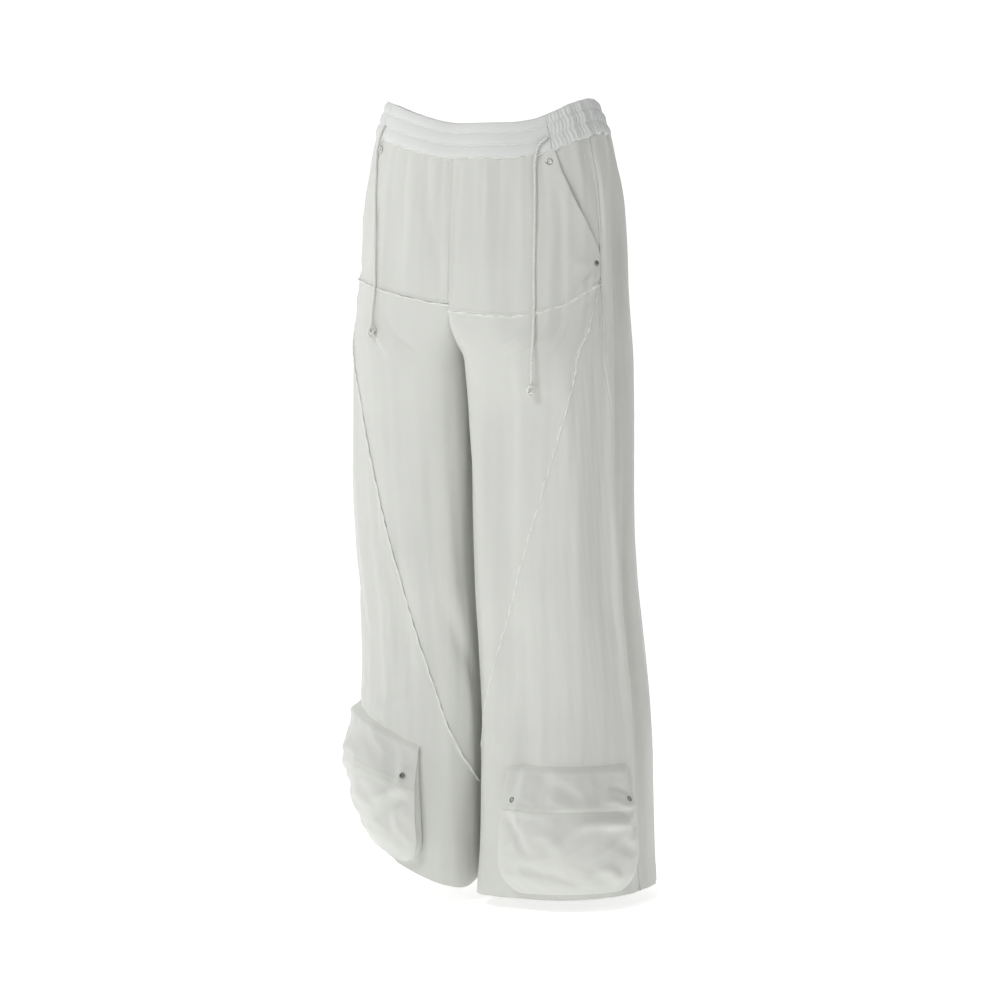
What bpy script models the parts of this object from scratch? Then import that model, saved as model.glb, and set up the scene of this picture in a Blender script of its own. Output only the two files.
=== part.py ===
"""Wide-leg drawstring trousers with a snap-flap pouch at each hem, in the form they have when worn.

Metres, +Z up. The front faces -Y and +X is the wearer's left. The origin is the middle of the waist
opening, halfway down the waistband.

Every piece of cloth lies on one surface. A place on it is a side (+1 left, -1 right), a turn and a
drop. The turn runs round one half of the trousers: 0 at the centre front or the inseam, 1 at the
outermost point, 2 at the centre back or the inseam again. The drop is measured down from the rim.
"""
from functools import lru_cache
import math

import bmesh
import bpy
from mathutils import Matrix, Vector
import numpy as np

# Cloth and seams
WALL = 0.0015
SEAM_GAP = 0.0005
BAND_SEAM_GAP = 0.0007
LAYER_GAP = 0.0004
POUCH_BASE_GAP = 0.0009

# Lengths down the garment
BAND_HEIGHT = 0.046
HIP_SEAM = 0.236
CROTCH = 0.345
HEM = 1.046
RIM_HEIGHT = BAND_HEIGHT / 2

# How far the rim and the hip seam dip at each turn: on the left half, on the right half, and how
# much further the left half's hip seam dips
WAIST_COLUMNS = ("turn", "left", "right", "left_hip")
WAIST_LINE = np.array((
    (0.00, 0.0350, 0.0350, 0.008),
    (0.10, 0.0350, 0.0320, 0.010),
    (0.20, 0.0350, 0.0270, 0.013),
    (0.35, 0.0350, 0.0185, 0.015),
    (0.50, 0.0316, 0.0095, 0.012),
    (0.65, 0.0210, 0.0025, 0.010),
    (0.80, 0.0086, -0.0005, 0.002),
    (1.00, 0.0010, 0.0015, 0.000),
    (1.20, 0.0055, 0.0095, 0.000),
    (1.40, 0.0155, 0.0205, 0.000),
    (1.60, 0.0245, 0.0275, 0.000),
    (2.00, 0.0290, 0.0290, 0.000),
))
HIP_DIP_STARTS = 0.10
HIP_DIP_ENDS = 0.40

# How the hems hang
INSEAM_RISE = 0.036
RIGHT_HEM_LIFT = 0.068
LIFT_STARTS = 0.50
LIFT_FULL = 0.86
RIGHT_HEM_TUCK = 0.034
TUCK_STARTS = 0.89
TUCK_FULL = 1.03

# Plan of one half at each drop: the outermost x, the frontmost and rearmost y, the x of the crest,
# how far the centre line is drawn in (0 on the hips, 1 from the crotch down), the distance of the
# centre line from the middle plane, and the sideways lean of both legs
SECTION_COLUMNS = ("drop", "side", "front", "back", "crest", "notch", "apart", "lean")
SECTIONS = np.array((
    (0.000, 0.143, -0.090, 0.108, 0.020, 0.00, 0.00025, 0.000),
    (0.046, 0.160, -0.103, 0.124, 0.020, 0.00, 0.00025, 0.000),
    (0.120, 0.174, -0.112, 0.138, 0.025, 0.00, 0.00025, 0.000),
    (0.200, 0.180, -0.118, 0.143, 0.040, 0.00, 0.00025, 0.000),
    (0.250, 0.182, -0.120, 0.142, 0.055, 0.05, 0.00025, 0.000),
    (0.300, 0.185, -0.118, 0.137, 0.074, 0.40, 0.00060, 0.000),
    (0.345, 0.187, -0.114, 0.130, 0.088, 1.00, 0.00150, 0.000),
    (0.420, 0.190, -0.105, 0.116, 0.096, 1.00, 0.00300, 0.000),
    (0.520, 0.192, -0.103, 0.110, 0.097, 1.00, 0.00300, 0.001),
    (0.640, 0.192, -0.098, 0.114, 0.097, 1.00, 0.00300, 0.004),
    (0.720, 0.194, -0.092, 0.124, 0.098, 1.00, 0.00300, 0.007),
    (0.800, 0.197, -0.092, 0.136, 0.099, 1.00, 0.00300, 0.010),
    (0.900, 0.200, -0.100, 0.151, 0.100, 1.00, 0.00300, 0.011),
    (1.060, 0.203, -0.108, 0.162, 0.101, 1.00, 0.00300, 0.011),
))
SQUARENESS = 2.15
INNER_SQUARENESS = 4.5
SECTION_SAMPLES = 257

# Seam lines as drop and turn
SIDE_SEAM = np.array((
    (0.000, 0.84),
    (0.240, 0.85),
    (0.500, 0.93),
    (0.800, 0.965),
    (1.060, 0.985),
))
DIAGONAL_SEAMS = {+1: np.array((
    (0.236, 0.838),
    (0.274, 0.785),
    (0.313, 0.752),
    (0.345, 0.742),
    (0.405, 0.690),
    (0.470, 0.630),
    (0.570, 0.528),
    (0.700, 0.394),
    (0.840, 0.256),
    (0.900, 0.150),
    (0.950, 0.000),
)), -1: np.array((
    (0.236, 0.838),
    (0.274, 0.785),
    (0.313, 0.745),
    (0.345, 0.720),
    (0.405, 0.650),
    (0.470, 0.600),
    (0.570, 0.520),
    (0.700, 0.430),
    (0.840, 0.300),
    (0.900, 0.200),
    (0.950, 0.000),
))}
DIAGONAL_TIP = 0.945
POCKET_END = 0.198
POCKET_EDGE = np.array((
    (0.046, 0.612),
    (0.075, 0.635),
    (0.110, 0.680),
    (0.150, 0.750),
    (0.198, 0.8465),
))

# Soft folds that run down the cloth: side, turn, drift of the turn for each metre, first and last
# drop, half width as a turn, and height
FOLDS = (
    (+1, 0.90, 0.03, 0.04, 1.06, 0.028, 0.0045),
    (+1, 0.985, 0.04, 0.08, 1.06, 0.028, -0.0045),
    (+1, 1.08, 0.02, 0.04, 0.90, 0.035, 0.0060),
    (+1, 0.44, 0.06, 0.36, 0.98, 0.050, -0.0035),
    (+1, 0.25, 0.02, 0.40, 1.06, 0.045, -0.0040),
    (+1, 0.36, -0.02, 0.05, 0.30, 0.050, -0.0030),
    (+1, 0.60, 0.05, 0.05, 0.34, 0.040, -0.0025),
    (+1, 1.30, 0.05, 0.05, 1.06, 0.050, -0.0060),
    (+1, 1.45, 0.00, 0.30, 1.06, 0.050, 0.0060),
    (+1, 1.62, 0.02, 0.05, 0.95, 0.045, -0.0050),
    (-1, 0.88, 0.05, 0.04, 0.80, 0.030, 0.0040),
    (-1, 0.98, 0.03, 0.08, 1.06, 0.030, -0.0045),
    (-1, 1.09, 0.01, 0.04, 1.00, 0.035, 0.0060),
    (-1, 0.62, -0.05, 0.38, 0.90, 0.050, -0.0030),
    (-1, 0.33, 0.04, 0.42, 0.98, 0.045, -0.0040),
    (-1, 0.20, 0.12, 0.62, 0.98, 0.035, 0.0040),
    (-1, 0.30, 0.10, 0.05, 0.29, 0.050, -0.0035),
    (-1, 0.58, 0.05, 0.05, 0.30, 0.045, -0.0025),
    (-1, 1.27, 0.04, 0.05, 1.06, 0.050, -0.0060),
    (-1, 1.43, 0.02, 0.28, 1.06, 0.050, 0.0055),
    (-1, 1.66, 0.00, 0.05, 1.00, 0.045, -0.0055),
)
FOLD_FADE = 0.10

# Rows of points down each piece
BAND_ROWS = (0.0, 0.0065, 0.013, 0.021, 0.029, 0.0375, BAND_HEIGHT)
YOKE_ROWS = (BAND_HEIGHT + BAND_SEAM_GAP, 0.075, 0.110, 0.150, 0.192, POCKET_END, HIP_SEAM - LAYER_GAP)
LEG_ROWS = (HIP_SEAM, 0.262, 0.288, 0.312, 0.330, CROTCH, 0.372, 0.415, 0.470, 0.530, 0.590, 0.650,
            0.710, 0.770, 0.830, 0.860, 0.884, 0.907, 0.930, DIAGONAL_TIP, 0.960, 0.975, 0.993, 1.009,
            1.022, 1.036, HEM)
FRONT_LEG_COLUMNS = 11
SIDE_LEG_COLUMNS = 9
BACK_LEG_COLUMNS = 14
YOKE_COLUMNS = 11
FACING_COLUMNS = 5
FACING_STEP = (0.006, 0.026)

# Waistband: stitched channels all round, and gathers where it holds elastic
FRONT_BAND_END = 0.60
CHANNEL_LINES = (0.0, 0.013, 0.029, BAND_HEIGHT)
CHANNEL_RAISE = 0.0012
GATHERS_A_SIDE = 14
GATHER_COLUMNS = 4
GATHER_RAISE = 0.0022
FRONT_BAND_COLUMNS = 11

# Pouch, on the panel between the diagonal seam and the side seam
POUCH_INNER = 0.41
POUCH_OUTER = 0.885
POUCH_TOP = 0.884
POUCH_BOTTOM = 1.036
POUCH_CORNER_START = 0.72
POUCH_CORNER_INSET = 0.36
POUCH_COLUMNS = 9
# Height of the pouch's face over the leg, down the pouch: share of its length, edge and middle
POUCH_RELIEF = np.array((
    (0.00, 0.0036, 0.007),
    (0.15, 0.0105, 0.0165),
    (0.30, 0.018, 0.026),
    (0.60, 0.021, 0.033),
    (0.85, 0.018, 0.027),
    (1.00, 0.013, 0.015),
))
POUCH_SHARES = (0.0, 0.15, 0.30, 0.45, 0.60, 0.72, 0.82, 0.91, 1.0)
FLAP_ROOT = 0.012
# The flap's rows above the face: share of its root, and share of its rise over the face
FLAP_ROOT_ROWS = ((0.0, 0.0), (0.45, 0.62))
FLAP_ROWS = 3

# Metal pieces: diameter, height and depth of the dished middle
SNAP_SIZE = (0.0105, 0.0022, 0.0008)
RIVET_SIZE = (0.0075, 0.0018, 0.0004)
FLAP_SNAP_SIZE = (0.0080, 0.0020, 0.0006)
METAL_SEGMENTS = 12
POCKET_SNAP_PLACE = (0.575, 0.060)
POCKET_RIVET_PLACE = (0.815, 0.2085)
FLAP_SNAP_ACROSS = 0.84
FLAP_SNAP_SHARE = 0.22
FLAP_SNAP_GAP = 0.0005

# Drawcord: the turn, drop and height over the cloth of points along each route, from its exit
CORD_DIAMETER = 0.004
CORD_POINT_SPACING = 0.010
CORD_ROUTES = {
    "left": (
        (0.586, 0.0290, 0.0028),
        (0.564, 0.0310, 0.0044),
        (0.538, 0.0335, 0.0044),
        (0.512, 0.0410, 0.0042),
        (0.492, 0.0580, 0.0030),
        (0.482, 0.0840, 0.0027),
        (0.473, 0.1180, 0.0027),
        (0.466, 0.1550, 0.0027),
        (0.461, 0.1900, 0.0027),
        (0.461, 0.2260, 0.0030),
        (0.461, 0.2540, 0.0036),
        (0.476, 0.2780, 0.0044),
        (0.523, 0.3120, 0.0056),
        (0.570, 0.3370, 0.0072),
        (0.572, 0.3550, 0.0080),
        (0.566, 0.3720, 0.0082),
    ),
    "right": (
        (0.586, 0.0290, 0.0028),
        (0.588, 0.0370, 0.0044),
        (0.598, 0.0470, 0.0042),
        (0.607, 0.0580, 0.0030),
        (0.604, 0.0670, 0.0027),
        (0.584, 0.0830, 0.0026),
        (0.560, 0.1060, 0.0026),
        (0.518, 0.1390, 0.0026),
        (0.482, 0.1790, 0.0027),
        (0.457, 0.2160, 0.0030),
        (0.447, 0.2340, 0.0033),
        (0.448, 0.2530, 0.0037),
        (0.460, 0.2740, 0.0044),
        (0.478, 0.2940, 0.0052),
    ),
}
KNOT_WIDTH = 0.0095
KNOT_LENGTH = 0.0135

COLOURS = {
    "cloth": ((0.78, 0.78, 0.75, 1.0), 0.72, 0.0),
    "band": ((0.82, 0.83, 0.82, 1.0), 0.70, 0.0),
    "cord": ((0.80, 0.80, 0.76, 1.0), 0.85, 0.0),
    "metal": ((0.55, 0.55, 0.56, 1.0), 0.30, 1.0),
}


def clear_scene():
    for scene_object in list(bpy.data.objects):
        bpy.data.objects.remove(scene_object, do_unlink=True)


def smooth_step(low, high, value):
    share = np.clip((value - low) / (high - low), 0.0, 1.0)
    return share * share * (3.0 - 2.0 * share)


def curve_value(places, values, place):
    """A smooth curve through the table's rows, with no swing past them."""
    steps = np.diff(places)
    slopes = np.diff(values) / steps
    product = slopes[:-1] * slopes[1:]
    total = slopes[:-1] + slopes[1:]
    inner = np.where(product > 0.0, 2.0 * product / np.where(product > 0.0, total, 1.0), 0.0)
    tangents = np.concatenate((slopes[:1], inner, slopes[-1:]))
    place = np.clip(place, places[0], places[-1])
    row = np.clip(np.searchsorted(places, place) - 1, 0, len(steps) - 1)
    share = (place - places[row]) / steps[row]
    rest = 1.0 - share
    return ((1.0 + 2.0 * share) * rest ** 2 * values[row]
            + share * rest ** 2 * steps[row] * tangents[row]
            + share ** 2 * (3.0 - 2.0 * share) * values[row + 1]
            - share ** 2 * rest * steps[row] * tangents[row + 1])


def section_size(column, drop):
    values = SECTIONS[:, SECTION_COLUMNS.index(column)]
    return float(curve_value(SECTIONS[:, 0], values, drop))


def seam_turn(seam, drop):
    return float(curve_value(seam[:, 0], seam[:, 1], drop))


def quarter_round(start_x, start_y, end_x, end_y, squareness=SQUARENESS):
    """A quarter of a squarish ellipse that leaves its start along x and meets its end along y."""
    angle = np.linspace(0.0, math.pi / 2.0, 49)
    power = 2.0 / squareness
    x = start_x + (end_x - start_x) * np.sin(angle) ** power
    y = end_y + (start_y - end_y) * np.abs(np.cos(angle)) ** power
    return np.column_stack((x, y))


def line_run(line):
    """Length along a line of points, at each point."""
    return np.concatenate(([0.0], np.cumsum(np.hypot(*np.diff(line, axis=0).T))))


@lru_cache(maxsize=None)
def half_section(drop):
    """Plan of one half at a drop: even turns, points, outward directions, and front and back length."""
    side = section_size("side", drop)
    front = section_size("front", drop)
    back = section_size("back", drop)
    crest = section_size("crest", drop)
    notch = section_size("notch", drop)
    apart = section_size("apart", drop)
    middle = (front + back) / 2.0
    centre_y = front + notch * (middle - front)
    inner_line = quarter_round(crest, front, apart, centre_y, INNER_SQUARENESS)[::-1]
    outer_line = quarter_round(crest, front, side, middle)
    front_line = np.concatenate((inner_line, outer_line[1:]))
    back_line = np.concatenate((
        quarter_round(crest, back, side, middle)[::-1],
        quarter_round(crest, back, apart, back + notch * (middle - back))[1:]))
    # The turn is spread over the inner front as though it were as round as the rest
    inner_run = line_run(inner_line)
    plain_length = line_run(quarter_round(crest, front, apart, centre_y))[-1]
    front_run = np.concatenate((inner_run * plain_length / inner_run[-1],
                                plain_length + line_run(outer_line)[1:]))
    turns = np.linspace(0.0, 2.0, SECTION_SAMPLES)
    halves = []
    lengths = []
    for first_turn, line, run in ((0.0, front_line, front_run), (1.0, back_line, line_run(back_line))):
        share = np.clip(turns - first_turn, 0.0, 1.0) * run[-1]
        halves.append(np.column_stack((np.interp(share, run, line[:, 0]), np.interp(share, run, line[:, 1]))))
        lengths.append(run[-1])
    points = np.where((turns <= 1.0)[:, None], halves[0], halves[1])
    along = np.gradient(points, axis=0)
    along /= np.linalg.norm(along, axis=1)[:, None]
    outward = np.column_stack((along[:, 1], -along[:, 0]))
    return turns, points, outward, lengths[0], lengths[1]


def fold_height(side, turn, drop):
    height = np.zeros_like(turn)
    for fold_side, place, drift, top, bottom, width, raise_by in FOLDS:
        if fold_side != side:
            continue
        reach = smooth_step(top, top + FOLD_FADE, drop) * (1.0 - smooth_step(bottom - FOLD_FADE, bottom, drop))
        centre = place + drift * (drop - top)
        height = height + raise_by * reach * np.exp(-((turn - centre) / width) ** 2)
    return height


def waist_size(column, turn):
    return curve_value(WAIST_LINE[:, 0], WAIST_LINE[:, WAIST_COLUMNS.index(column)], turn)


def dip(side, turn, drop):
    """How far the front and back of the waist and hip seam hang below the sides."""
    fades_out = 1.0 - smooth_step(HIP_SEAM, CROTCH, drop)
    if side < 0:
        return waist_size("right", turn) * fades_out
    at_hip = smooth_step(HIP_DIP_STARTS, HIP_SEAM, drop) * (1.0 - smooth_step(HIP_SEAM, HIP_DIP_ENDS, drop))
    return waist_size("left", turn) * fades_out + waist_size("left_hip", turn) * at_hip


def outer_share(turn):
    """1 at the outer side of a leg, 0 at its inseam."""
    return smooth_step(0.18, 0.86, turn) * (1.0 - smooth_step(1.05, 1.75, turn))


def hem_rise(side, turn, drop):
    """The hems ride up at the inseam, and the right one also at its outer side."""
    to_inseam = np.minimum(turn, 2.0 - turn)
    rise = INSEAM_RISE * (1.0 - smooth_step(0.03, 0.28, to_inseam)) * smooth_step(0.78, HEM, drop)
    if side < 0:
        rise = rise + RIGHT_HEM_LIFT * outer_share(turn) * smooth_step(LIFT_STARTS, LIFT_FULL, drop)
    return rise


def hem_tuck(side, turn, drop):
    """How far the outer side of the right leg is drawn in towards its hem."""
    if side > 0:
        return 0.0
    return RIGHT_HEM_TUCK * outer_share(turn) * smooth_step(TUCK_STARTS, TUCK_FULL, drop)


def bare_surface(side, turn, drop):
    turn = np.clip(turn, 0.0, 2.0)
    turns, points, outward, front_length, back_length = half_section(round(float(drop), 6))
    height = fold_height(side, turn, drop)
    x = np.interp(turn, turns, points[:, 0]) + height * np.interp(turn, turns, outward[:, 0])
    y = np.interp(turn, turns, points[:, 1]) + height * np.interp(turn, turns, outward[:, 1])
    x = x - hem_tuck(side, turn, drop)
    z = RIM_HEIGHT - drop - dip(side, turn, drop) + hem_rise(side, turn, drop)
    return np.column_stack((side * x + section_size("lean", drop), y, z))


def outward_normals(side, turn, drop):
    turn_step = 0.01
    drop_step = 0.003
    along = bare_surface(side, turn + turn_step, drop) - bare_surface(side, turn - turn_step, drop)
    down = bare_surface(side, turn, drop + drop_step) - bare_surface(side, turn, max(drop - drop_step, 0.0))
    normals = np.cross(down, along) * side
    return normals / np.linalg.norm(normals, axis=1)[:, None]


def cloth_points(side, turn, drop, out=0.0):
    """Points of the surface at one drop, moved out along its normals."""
    turn = np.atleast_1d(np.asarray(turn, dtype=float))
    moved = np.asarray(out, dtype=float) * np.ones_like(turn)
    return bare_surface(side, turn, drop) + outward_normals(side, turn, drop) * moved[:, None]


def half_gap(drop):
    """Half of a seam's gap, as a turn."""
    return 0.5 * SEAM_GAP / half_section(round(float(drop), 6))[3]


def make_material(name):
    material = bpy.data.materials.new(name)
    material.use_nodes = True
    shader = material.node_tree.nodes["Principled BSDF"]
    colour, roughness, metallic = COLOURS[name.split("-")[0]]
    shader.inputs["Base Color"].default_value = colour
    shader.inputs["Roughness"].default_value = roughness
    shader.inputs["Metallic"].default_value = metallic
    return material


def place_object(name, data, kind, collection):
    part = bpy.data.objects.new(name, data)
    data.materials.append(make_material(kind + "-" + name))
    collection.objects.link(part)
    return part


def place_mesh(name, shape, kind, collection, smooth=False):
    bmesh.ops.recalc_face_normals(shape, faces=shape.faces)
    mesh = bpy.data.meshes.new(name)
    shape.to_mesh(mesh)
    shape.free()
    if smooth:
        mesh.shade_smooth()
        mesh.set_sharp_from_angle(angle=math.radians(40.0))
    return place_object(name, mesh, kind, collection)


def wall_between(name, outer, inner, kind, collection):
    """A closed wall between two grids of points. The inner grid has as many rows as the outer, or 2."""
    shape = bmesh.new()
    outer_points = [[shape.verts.new(point) for point in row] for row in outer]
    inner_points = [[shape.verts.new(point) for point in row] for row in inner]
    for grid in (outer_points, inner_points):
        for upper, lower in zip(grid, grid[1:]):
            for left in range(len(upper) - 1):
                shape.faces.new((upper[left], upper[left + 1], lower[left + 1], lower[left]))
    for row in (0, -1):
        for left in range(len(outer_points[0]) - 1):
            shape.faces.new((outer_points[row][left], outer_points[row][left + 1],
                             inner_points[row][left + 1], inner_points[row][left]))
    for column in (0, -1):
        if len(inner_points) == len(outer_points):
            for row in range(len(outer_points) - 1):
                shape.faces.new((outer_points[row][column], outer_points[row + 1][column],
                                 inner_points[row + 1][column], inner_points[row][column]))
        else:
            rim = [row[column] for row in outer_points] + [row[column] for row in reversed(inner_points)]
            shape.faces.new(rim)
    return place_mesh(name, shape, kind, collection, smooth=True)


def even_turns(first_edge, last_edge, columns):
    """Turns spread evenly between two edges, each given as a function from drop to turn."""
    def turns(drop):
        gap = half_gap(drop)
        return np.linspace(first_edge(drop) + gap, last_edge(drop) - gap, columns)
    return turns


def make_panel(name, side, rows, turns, collection, depth=None):
    """A cloth panel. Turns and depth are functions of the drop, for the points of that row."""
    outer = []
    inner = []
    for drop in rows:
        moved = depth(drop) if depth else 0.0
        outer.append(cloth_points(side, turns(drop), drop, moved))
        inner.append(cloth_points(side, turns(drop), drop, moved - WALL))
    return wall_between(name, outer, inner, "cloth", collection)


def channel_raise(drop):
    for top, bottom in zip(CHANNEL_LINES, CHANNEL_LINES[1:]):
        if top <= drop <= bottom:
            return CHANNEL_RAISE * math.sin(math.pi * (drop - top) / (bottom - top))
    return 0.0


def make_band(name, stations, collection, gather=None):
    """A stretch of waistband through stations, each a side and a turn."""
    outer = []
    for drop in BAND_ROWS:
        row = []
        for count, (side, turn) in enumerate(stations):
            lift = channel_raise(drop) + (gather(count) if gather else 0.0)
            row.append(cloth_points(side, turn, drop, lift)[0])
        outer.append(row)
    inner = [[cloth_points(side, turn, drop, -WALL)[0] for side, turn in stations]
             for drop in (BAND_ROWS[0], BAND_ROWS[-1])]
    return wall_between(name, outer, inner, "band", collection)


def make_waistband(collection):
    gap = half_gap(0.0)
    half = [FRONT_BAND_END - gap - (FRONT_BAND_END - gap) * step / (FRONT_BAND_COLUMNS // 2)
            for step in range(FRONT_BAND_COLUMNS // 2 + 1)]
    front = [(-1, turn) for turn in half[:-1]] + [(+1, turn) for turn in reversed(half)]
    make_band("waistband_front", front, collection)
    steps = GATHERS_A_SIDE * GATHER_COLUMNS
    start = FRONT_BAND_END + gap
    half = [start + (2.0 - start) * step / steps for step in range(steps + 1)]
    back = [(+1, turn) for turn in half] + [(-1, turn) for turn in reversed(half[:-1])]

    def gather(count):
        return GATHER_RAISE * (0.5 - 0.5 * math.cos(2.0 * math.pi * count / GATHER_COLUMNS))

    make_band("waistband_back", back, collection, gather)


def pocket_edge(drop):
    if drop < POCKET_END:
        return seam_turn(POCKET_EDGE, drop)
    return seam_turn(SIDE_SEAM, drop)


def center_line(drop):
    return 0.0


def back_line(drop):
    return 2.0


def side_seam(drop):
    return seam_turn(SIDE_SEAM, drop)


def diagonal_seam(side):
    return lambda drop: seam_turn(DIAGONAL_SEAMS[side], drop)


def yoke_edge(drop):
    return seam_turn(POCKET_EDGE, drop) if drop < POCKET_END else side_seam(drop)


def make_yoke(side, word, collection):
    turns = even_turns(center_line, yoke_edge, YOKE_COLUMNS)
    make_panel("front_yoke_" + word, side, YOKE_ROWS, turns, collection)


def make_facing(side, word, collection):
    """The facing lies under the last strip of the yoke, then comes up to the side seam."""
    yoke_turns = even_turns(center_line, yoke_edge, YOKE_COLUMNS)

    def turns(drop):
        under_yoke = yoke_turns(drop)[-2:]
        rest = np.linspace(under_yoke[-1], side_seam(drop) - half_gap(drop), FACING_COLUMNS)
        return np.concatenate((under_yoke, rest[1:]))

    def depth(drop):
        from_edge = (turns(drop) - yoke_turns(drop)[-1]) * half_section(round(float(drop), 6))[3]
        return -(WALL + LAYER_GAP) * (1.0 - smooth_step(*FACING_STEP, from_edge))

    rows = tuple(drop for drop in YOKE_ROWS if drop < POCKET_END)
    make_panel("pocket_facing_" + word, side, rows, turns, collection, depth)


def make_legs(side, word, collection):
    above_tip = tuple(drop for drop in LEG_ROWS if drop <= DIAGONAL_TIP)
    make_panel("front_leg_" + word, side, above_tip,
               even_turns(center_line, diagonal_seam(side), FRONT_LEG_COLUMNS), collection)
    make_panel("side_leg_" + word, side, LEG_ROWS,
               even_turns(diagonal_seam(side), side_seam, SIDE_LEG_COLUMNS), collection)
    make_panel("back_leg_" + word, side, YOKE_ROWS[:-1] + LEG_ROWS,
               even_turns(side_seam, back_line, BACK_LEG_COLUMNS), collection)


def pouch_half_width(share):
    """Half width of the pouch at a share of its length, 1 where its sides are straight."""
    past = np.clip((share - POUCH_CORNER_START) / (1.0 - POUCH_CORNER_START), 0.0, 1.0)
    return 1.0 - POUCH_CORNER_INSET * (1.0 - math.sqrt(1.0 - past * past))


def pouch_turn(across):
    return (POUCH_INNER + POUCH_OUTER) / 2.0 + across * (POUCH_OUTER - POUCH_INNER) / 2.0


def pouch_drop(share):
    return POUCH_TOP + share * (POUCH_BOTTOM - POUCH_TOP)


def pouch_height(across, share):
    """Height of the pouch's face over the leg. Across is -1 to 1 between the pouch's sides."""
    share = min(max(share, 0.0), 1.0)
    edge = float(curve_value(POUCH_RELIEF[:, 0], POUCH_RELIEF[:, 1], share))
    middle = float(curve_value(POUCH_RELIEF[:, 0], POUCH_RELIEF[:, 2], share))
    crown = np.clip(1.0 - np.asarray(across) ** 2, 0.0, 1.0) ** 0.8
    return edge + (middle - edge) * crown


def make_pouch_face(side, word, collection):
    outer = []
    inner = []
    for share in POUCH_SHARES:
        across = np.linspace(-1.0, 1.0, POUCH_COLUMNS)
        turn = pouch_turn(across * pouch_half_width(share))
        height = pouch_height(across, share)
        outer.append(cloth_points(side, turn, pouch_drop(share), height))
        inner.append(cloth_points(side, turn, pouch_drop(share), height - WALL))
    wall_between("pouch_face_" + word, outer, inner, "cloth", collection)


def make_pouch_gusset(side, word, collection):
    """The strip that joins the sides and bottom of the pouch's face to the leg."""
    down = [(-pouch_half_width(share), share) for share in POUCH_SHARES]
    bottom = [(pouch_half_width(1.0) * step / 4.0, 1.0) for step in range(-3, 4)]
    up = [(across * -1.0, share) for across, share in reversed(down)]
    middle_drop = (POUCH_TOP + POUCH_BOTTOM) / 2.0
    half_length = (POUCH_BOTTOM - POUCH_TOP) / 2.0
    half_width = half_section(round(POUCH_TOP, 6))[3] * (POUCH_OUTER - POUCH_INNER) / 2.0
    shrink_across = 1.0 - WALL / half_width
    shrink_down = 1.0 - WALL / half_length
    outer = []
    inner = []
    for across, share in down + bottom + up:
        rim = 1.0 if share < 1.0 else across / pouch_half_width(1.0)
        top = float(pouch_height(rim, share)) - WALL - LAYER_GAP
        drop = pouch_drop(share)
        inner_drop = middle_drop + (drop - middle_drop) * shrink_down if share > 0.0 else drop
        turn = pouch_turn(across)
        inner_turn = pouch_turn(across * shrink_across)
        outer.append([cloth_points(side, turn, drop, height)[0] for height in (POUCH_BASE_GAP, top)])
        inner.append([cloth_points(side, inner_turn, inner_drop, height)[0] for height in (POUCH_BASE_GAP, top)])
    wall_between("pouch_gusset_" + word, outer, inner, "cloth", collection)


def flap_height(across, share):
    """Height of the flap's underside over the leg, where it lies on the pouch's face."""
    return pouch_height(across, share) + LAYER_GAP


def make_pouch_flap(side, word, collection):
    across = np.linspace(-1.0, 1.0, POUCH_COLUMNS)
    rows = []
    for root_share, rise in FLAP_ROOT_ROWS:
        height = POUCH_BASE_GAP + rise * (flap_height(across, 0.0) - POUCH_BASE_GAP)
        rows.append((POUCH_TOP - FLAP_ROOT * (1.0 - root_share), height))
    for share in POUCH_SHARES[:FLAP_ROWS]:
        rows.append((pouch_drop(share), flap_height(across, share)))
    outer = [cloth_points(side, pouch_turn(across), drop, height + WALL) for drop, height in rows]
    inner = [cloth_points(side, pouch_turn(across), drop, height) for drop, height in rows]
    wall_between("pouch_flap_" + word, outer, inner, "cloth", collection)


def cloth_place(side, turn, drop):
    """A point just over the cloth, and the cloth's outward direction there."""
    point = cloth_points(side, turn, drop, LAYER_GAP)[0]
    return Vector(point), Vector(outward_normals(side, np.array([turn]), drop)[0])


def flap_place(side, across, share):
    """A point just over the facet of the flap at a place, and the facet's outward direction."""
    columns = np.linspace(-1.0, 1.0, POUCH_COLUMNS)
    column = int(np.searchsorted(columns, across)) - 1
    row = int(np.searchsorted(POUCH_SHARES, share)) - 1
    along_share = (across - columns[column]) / (columns[column + 1] - columns[column])
    down_share = (share - POUCH_SHARES[row]) / (POUCH_SHARES[row + 1] - POUCH_SHARES[row])

    def corner(column_step, row_step):
        corner_across = columns[column + column_step]
        corner_share = POUCH_SHARES[row + row_step]
        height = flap_height(corner_across, corner_share) + WALL
        turn = float(pouch_turn(corner_across))
        return Vector(cloth_points(side, turn, pouch_drop(corner_share), height)[0])

    inner = corner(0, 0).lerp(corner(0, 1), down_share)
    outer = corner(1, 0).lerp(corner(1, 1), down_share)
    above = corner(0, 0).lerp(corner(1, 0), along_share)
    below = corner(0, 1).lerp(corner(1, 1), along_share)
    normal = ((below - above).cross(outer - inner) * side).normalized()
    return inner.lerp(outer, along_share) + normal * FLAP_SNAP_GAP, normal


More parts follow.
